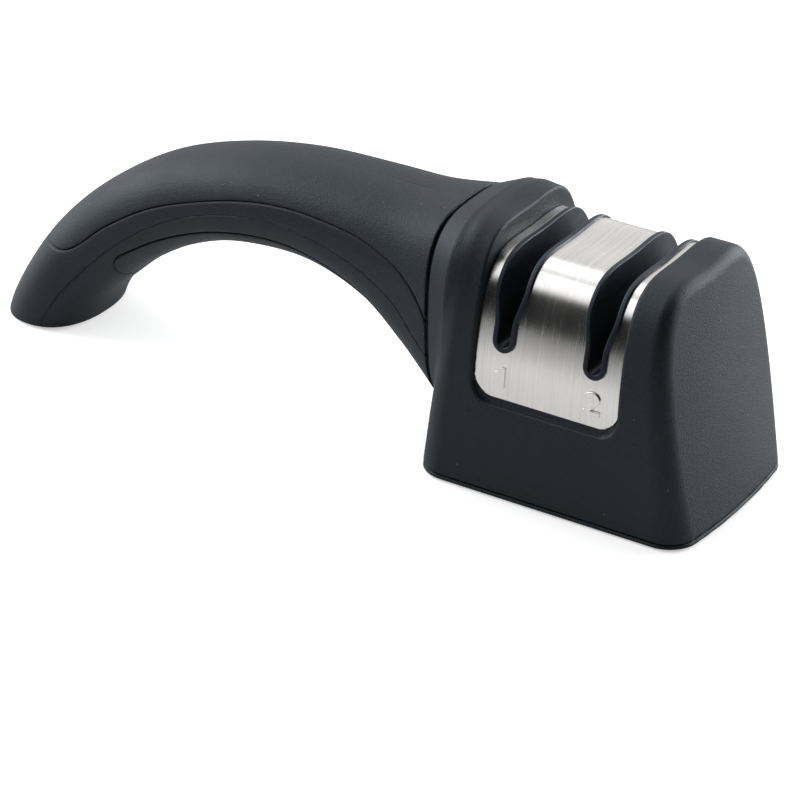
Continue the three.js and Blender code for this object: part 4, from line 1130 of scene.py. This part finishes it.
for material, pieces in WORN_BY_SKINS:
    for piece in pieces:
        wear(piece, material)
for node in SHOWN_SOLIDS:
    chosen = [finish for start, finish in INNER_FINISHES.items() if node.startswith(start)]
    wear(nodes[node], chosen[0] if chosen else bright_steel)
print("every skin and all", len(SHOWN_SOLIDS), "solids wear a finish")

# %% [markdown]
# ## Light
# The part stands on a white floor in a plain studio. The wall behind is lit and so is the wall on the
# left, and a high strip of light runs along the left. The room on the camera's side is dark: steel
# shows it as a dark band, which is what makes it look like steel, and the corner that faces the camera
# falls dark between two lit sides. A picture of a studio could light the part as well, but a few panels
# painted on the sky with arithmetic are easier to move.

# %% Panels of light in the world
world = bpy.data.worlds.new("studio")
bpy.context.scene.world = world
studio = Tree(world)
studio.tree.nodes.clear()
arithmetic = studio.arithmetic
direction = studio.node("ShaderNodeTexCoord")
toward = studio.node("ShaderNodeSeparateXYZ")
studio.link(direction.outputs["Generated"], toward.inputs[0])
height = toward.outputs["Z"]


def panel(turn, low, high, half_turn, soft, strength):
    """A far panel of light: where it stands (degrees from +X), the heights it spans, its half width."""
    around = math.radians(turn)
    along_x = arithmetic("MULTIPLY", toward.outputs["X"], math.cos(around))
    along_y = arithmetic("MULTIPLY", toward.outputs["Y"], math.sin(around))
    level = arithmetic("SQRT", arithmetic("SUBTRACT", 1.0001, arithmetic("POWER", height, 2)))
    cosine = arithmetic("DIVIDE", arithmetic("ADD", along_x, along_y), level)
    inner = math.cos(math.radians(half_turn - soft))
    outer = math.cos(math.radians(half_turn + soft))
    beside = studio.between(cosine, 0, 1, outer, inner)
    above_foot = studio.between(height, 0, 1, *low)
    below_top = studio.between(height, 1, 0, *high)
    shape = arithmetic("MULTIPLY", beside, arithmetic("MULTIPLY", above_foot, below_top))
    return arithmetic("MULTIPLY", shape, strength)


PANELS = {
    "wall behind": panel(85, (-0.1, 0.0), (0.5, 0.65), 26, 8, 3.0),
    "back left": panel(130, (-0.1, 0.0), (0.6, 0.8), 32, 12, 0.35),
    "left wall": panel(180, (-0.1, 0.1), (0.75, 0.85), 26, 12, 2.9),
    "high strip": panel(222, (0.45, 0.57), (0.85, 0.95), 40, 15, 1.65),
    "high back": panel(105, (0.6, 0.8), (0.95, 0.99), 60, 15, 1.5),
}
brightness = 0.012  # what the dark side of the room still gives
for lit in PANELS.values():
    brightness = arithmetic("ADD", lit, brightness)
print("panels of light:", ", ".join(PANELS))

# %% [markdown]
# The camera itself sees pure white all round. Where metal or anything clear mirrors the backdrop that
# stands behind the part, it has to show that white too, so those rays get it in a patch of the world.

# %% The white background
BACKDROP = panel(122.5, (-0.2, -0.1), (0.55, 0.7), 30, 8, 1.0)
rays = studio.node("ShaderNodeLightPath")
mirroring = arithmetic("ADD", rays.outputs["Is Glossy Ray"], rays.outputs["Is Transmission Ray"])
white_share = arithmetic("ADD", rays.outputs["Is Camera Ray"], arithmetic("MULTIPLY", mirroring, BACKDROP))
room = studio.node("ShaderNodeBackground")
room.inputs["Color"].default_value = (0.985, 0.99, 1.0, 1)
studio.link(brightness, room.inputs["Strength"])
white = studio.node("ShaderNodeBackground")
white.inputs["Color"].default_value = (1, 1, 1, 1)
pick = studio.node("ShaderNodeMixShader")
studio.link(white_share, pick.inputs[0])
studio.link(room.outputs[0], pick.inputs[1])
studio.link(white.outputs[0], pick.inputs[2])
studio.link(pick.outputs[0], studio.node("ShaderNodeOutputWorld").inputs["Surface"])
print("the world has", len(studio.tree.nodes), "nodes")

# %% [markdown]
# Three soft lamps do what far panels cannot: the key stands low behind the part on the right and
# lights the end of the head, the one overhead lifts the top a little, and the one on the left fills
# in the handle.

# %% Lamps
def softbox(name, place, aim, size, power, tint=(1, 1, 1)):
    data = bpy.data.lights.new(name, "AREA")
    data.shape = "RECTANGLE"
    data.size, data.size_y = size
    data.energy = power
    data.color = tint
    lamp = bpy.data.objects.new(name, data)
    lamp.location = place
    lamp.rotation_mode = "QUATERNION"
    lamp.rotation_quaternion = (Vector(aim) - Vector(place)).to_track_quat("-Z", "Y")
    bpy.context.scene.collection.objects.link(lamp)
    print(name, "lamp:", power, "watts")


softbox("key", (0.66, 0.9, 0.28), (0.06, 0, 0.03), (0.9, 0.52), 20, (0.99, 0.99, 1.0))
softbox("overhead", (-0.35, 0.45, 1.2), (0, 0, 0.03), (1.1, 0.9), 3)
softbox("left_fill", (-1.3, -0.15, 0.75), (-0.05, 0, 0.05), (0.6, 0.6), 13)

# %% [markdown]
# The floor's paint is pale next to the part and painted darker away from it: a painted shade that stands
# in for light falling off across the floor, which also keeps the floor from lighting the part's sides from
# below. For the camera it gets some light of its own, so that it reaches pure white where nothing shades it
# and still keeps the part's shadow. Mirroring rays see a little of that light too, close to the part.

# %% Floor
FLOOR_HALF = 6
FLOOR_LEVEL = -0.0001  # a hair below the feet, so that the two never fight over a pixel
FLOOR_GLOW = 0.5
# painted shade: the floor's grey darkens with distance from the part, in place of light that falls off away
# from it
FLOOR_PAINTED_FALLOFF = ((0.16, (0.7,) * 3), (0.26, (0.43,) * 3), (0.6, (0.3,) * 3))  # by metres from the middle
SQUARE = ((-1, -1), (1, -1), (1, 1), (-1, 1))
floor_mesh = bpy.data.meshes.new("floor")
floor_mesh.from_pydata([(FLOOR_HALF * x, FLOOR_HALF * y, FLOOR_LEVEL) for x, y in SQUARE], [], [(0, 1, 2, 3)])
floor = bpy.data.objects.new("floor", floor_mesh)
bpy.context.scene.collection.objects.link(floor)
white_floor = bpy.data.materials.new("white_floor")
ground = Tree(white_floor)
ground.tree.nodes.clear()
reach = ground.node("ShaderNodeVectorMath", operation="LENGTH")
ground.link(ground.node("ShaderNodeTexCoord").outputs["Object"], reach.inputs[0])
away = reach.outputs["Value"]
paint = ground.node("ShaderNodeBsdfDiffuse")
# the paint's colour is the painted falloff: a painted shade that grows darker with distance from the part
ground.link(ground.ramp(away, FLOOR_PAINTED_FALLOFF), paint.inputs["Color"])
seen = ground.node("ShaderNodeLightPath").outputs
mirroring = ground.arithmetic("ADD", seen["Is Glossy Ray"], seen["Is Transmission Ray"])
mirroring = ground.arithmetic("MULTIPLY", mirroring, ground.between(away, 0.2, 0.0, 0.2, 0.35))
lifted = ground.arithmetic("ADD", seen["Is Camera Ray"], mirroring)
glow = ground.node("ShaderNodeEmission")
ground.link(ground.arithmetic("MULTIPLY", lifted, FLOOR_GLOW), glow.inputs["Strength"])
total = ground.node("ShaderNodeAddShader")
ground.link(paint.outputs[0], total.inputs[0])
ground.link(glow.outputs[0], total.inputs[1])
ground.link(total.outputs[0], ground.node("ShaderNodeOutputMaterial").inputs["Surface"])
floor_mesh.materials.append(white_floor)
bpy.context.scene.view_settings.view_transform = "Standard"
print("the floor is", 2 * FLOOR_HALF, "m wide")

# %% [markdown]
# ## Camera
# The camera stands where the photograph was taken from: to the right of the front, looking down at
# about thirty degrees through a long lens.

# %% Place the camera
AZIMUTH = math.radians(32.54)
ELEVATION = math.radians(29.37)
STAND = (431.1, -770.8, 515.5)  # in millimetres from the head's middle
LENS = 180
level_reach = math.cos(ELEVATION)
backwards = Vector((math.sin(AZIMUTH) * level_reach, -math.cos(AZIMUTH) * level_reach, math.sin(ELEVATION)))
camera_data = bpy.data.cameras.new("camera")
camera_data.lens = LENS
camera_data.sensor_width = 36
camera_data.clip_end = 20
camera = bpy.data.objects.new("camera", camera_data)
camera.location = Vector((STAND[0] + HEAD_MIDDLE, STAND[1], STAND[2])) / 1000
camera.rotation_mode = "QUATERNION"
camera.rotation_quaternion = (-backwards).to_track_quat("-Z", "Y")
bpy.context.scene.collection.objects.link(camera)
bpy.context.scene.camera = camera
print("the camera stands", round(camera.location.length, 2), "m away")
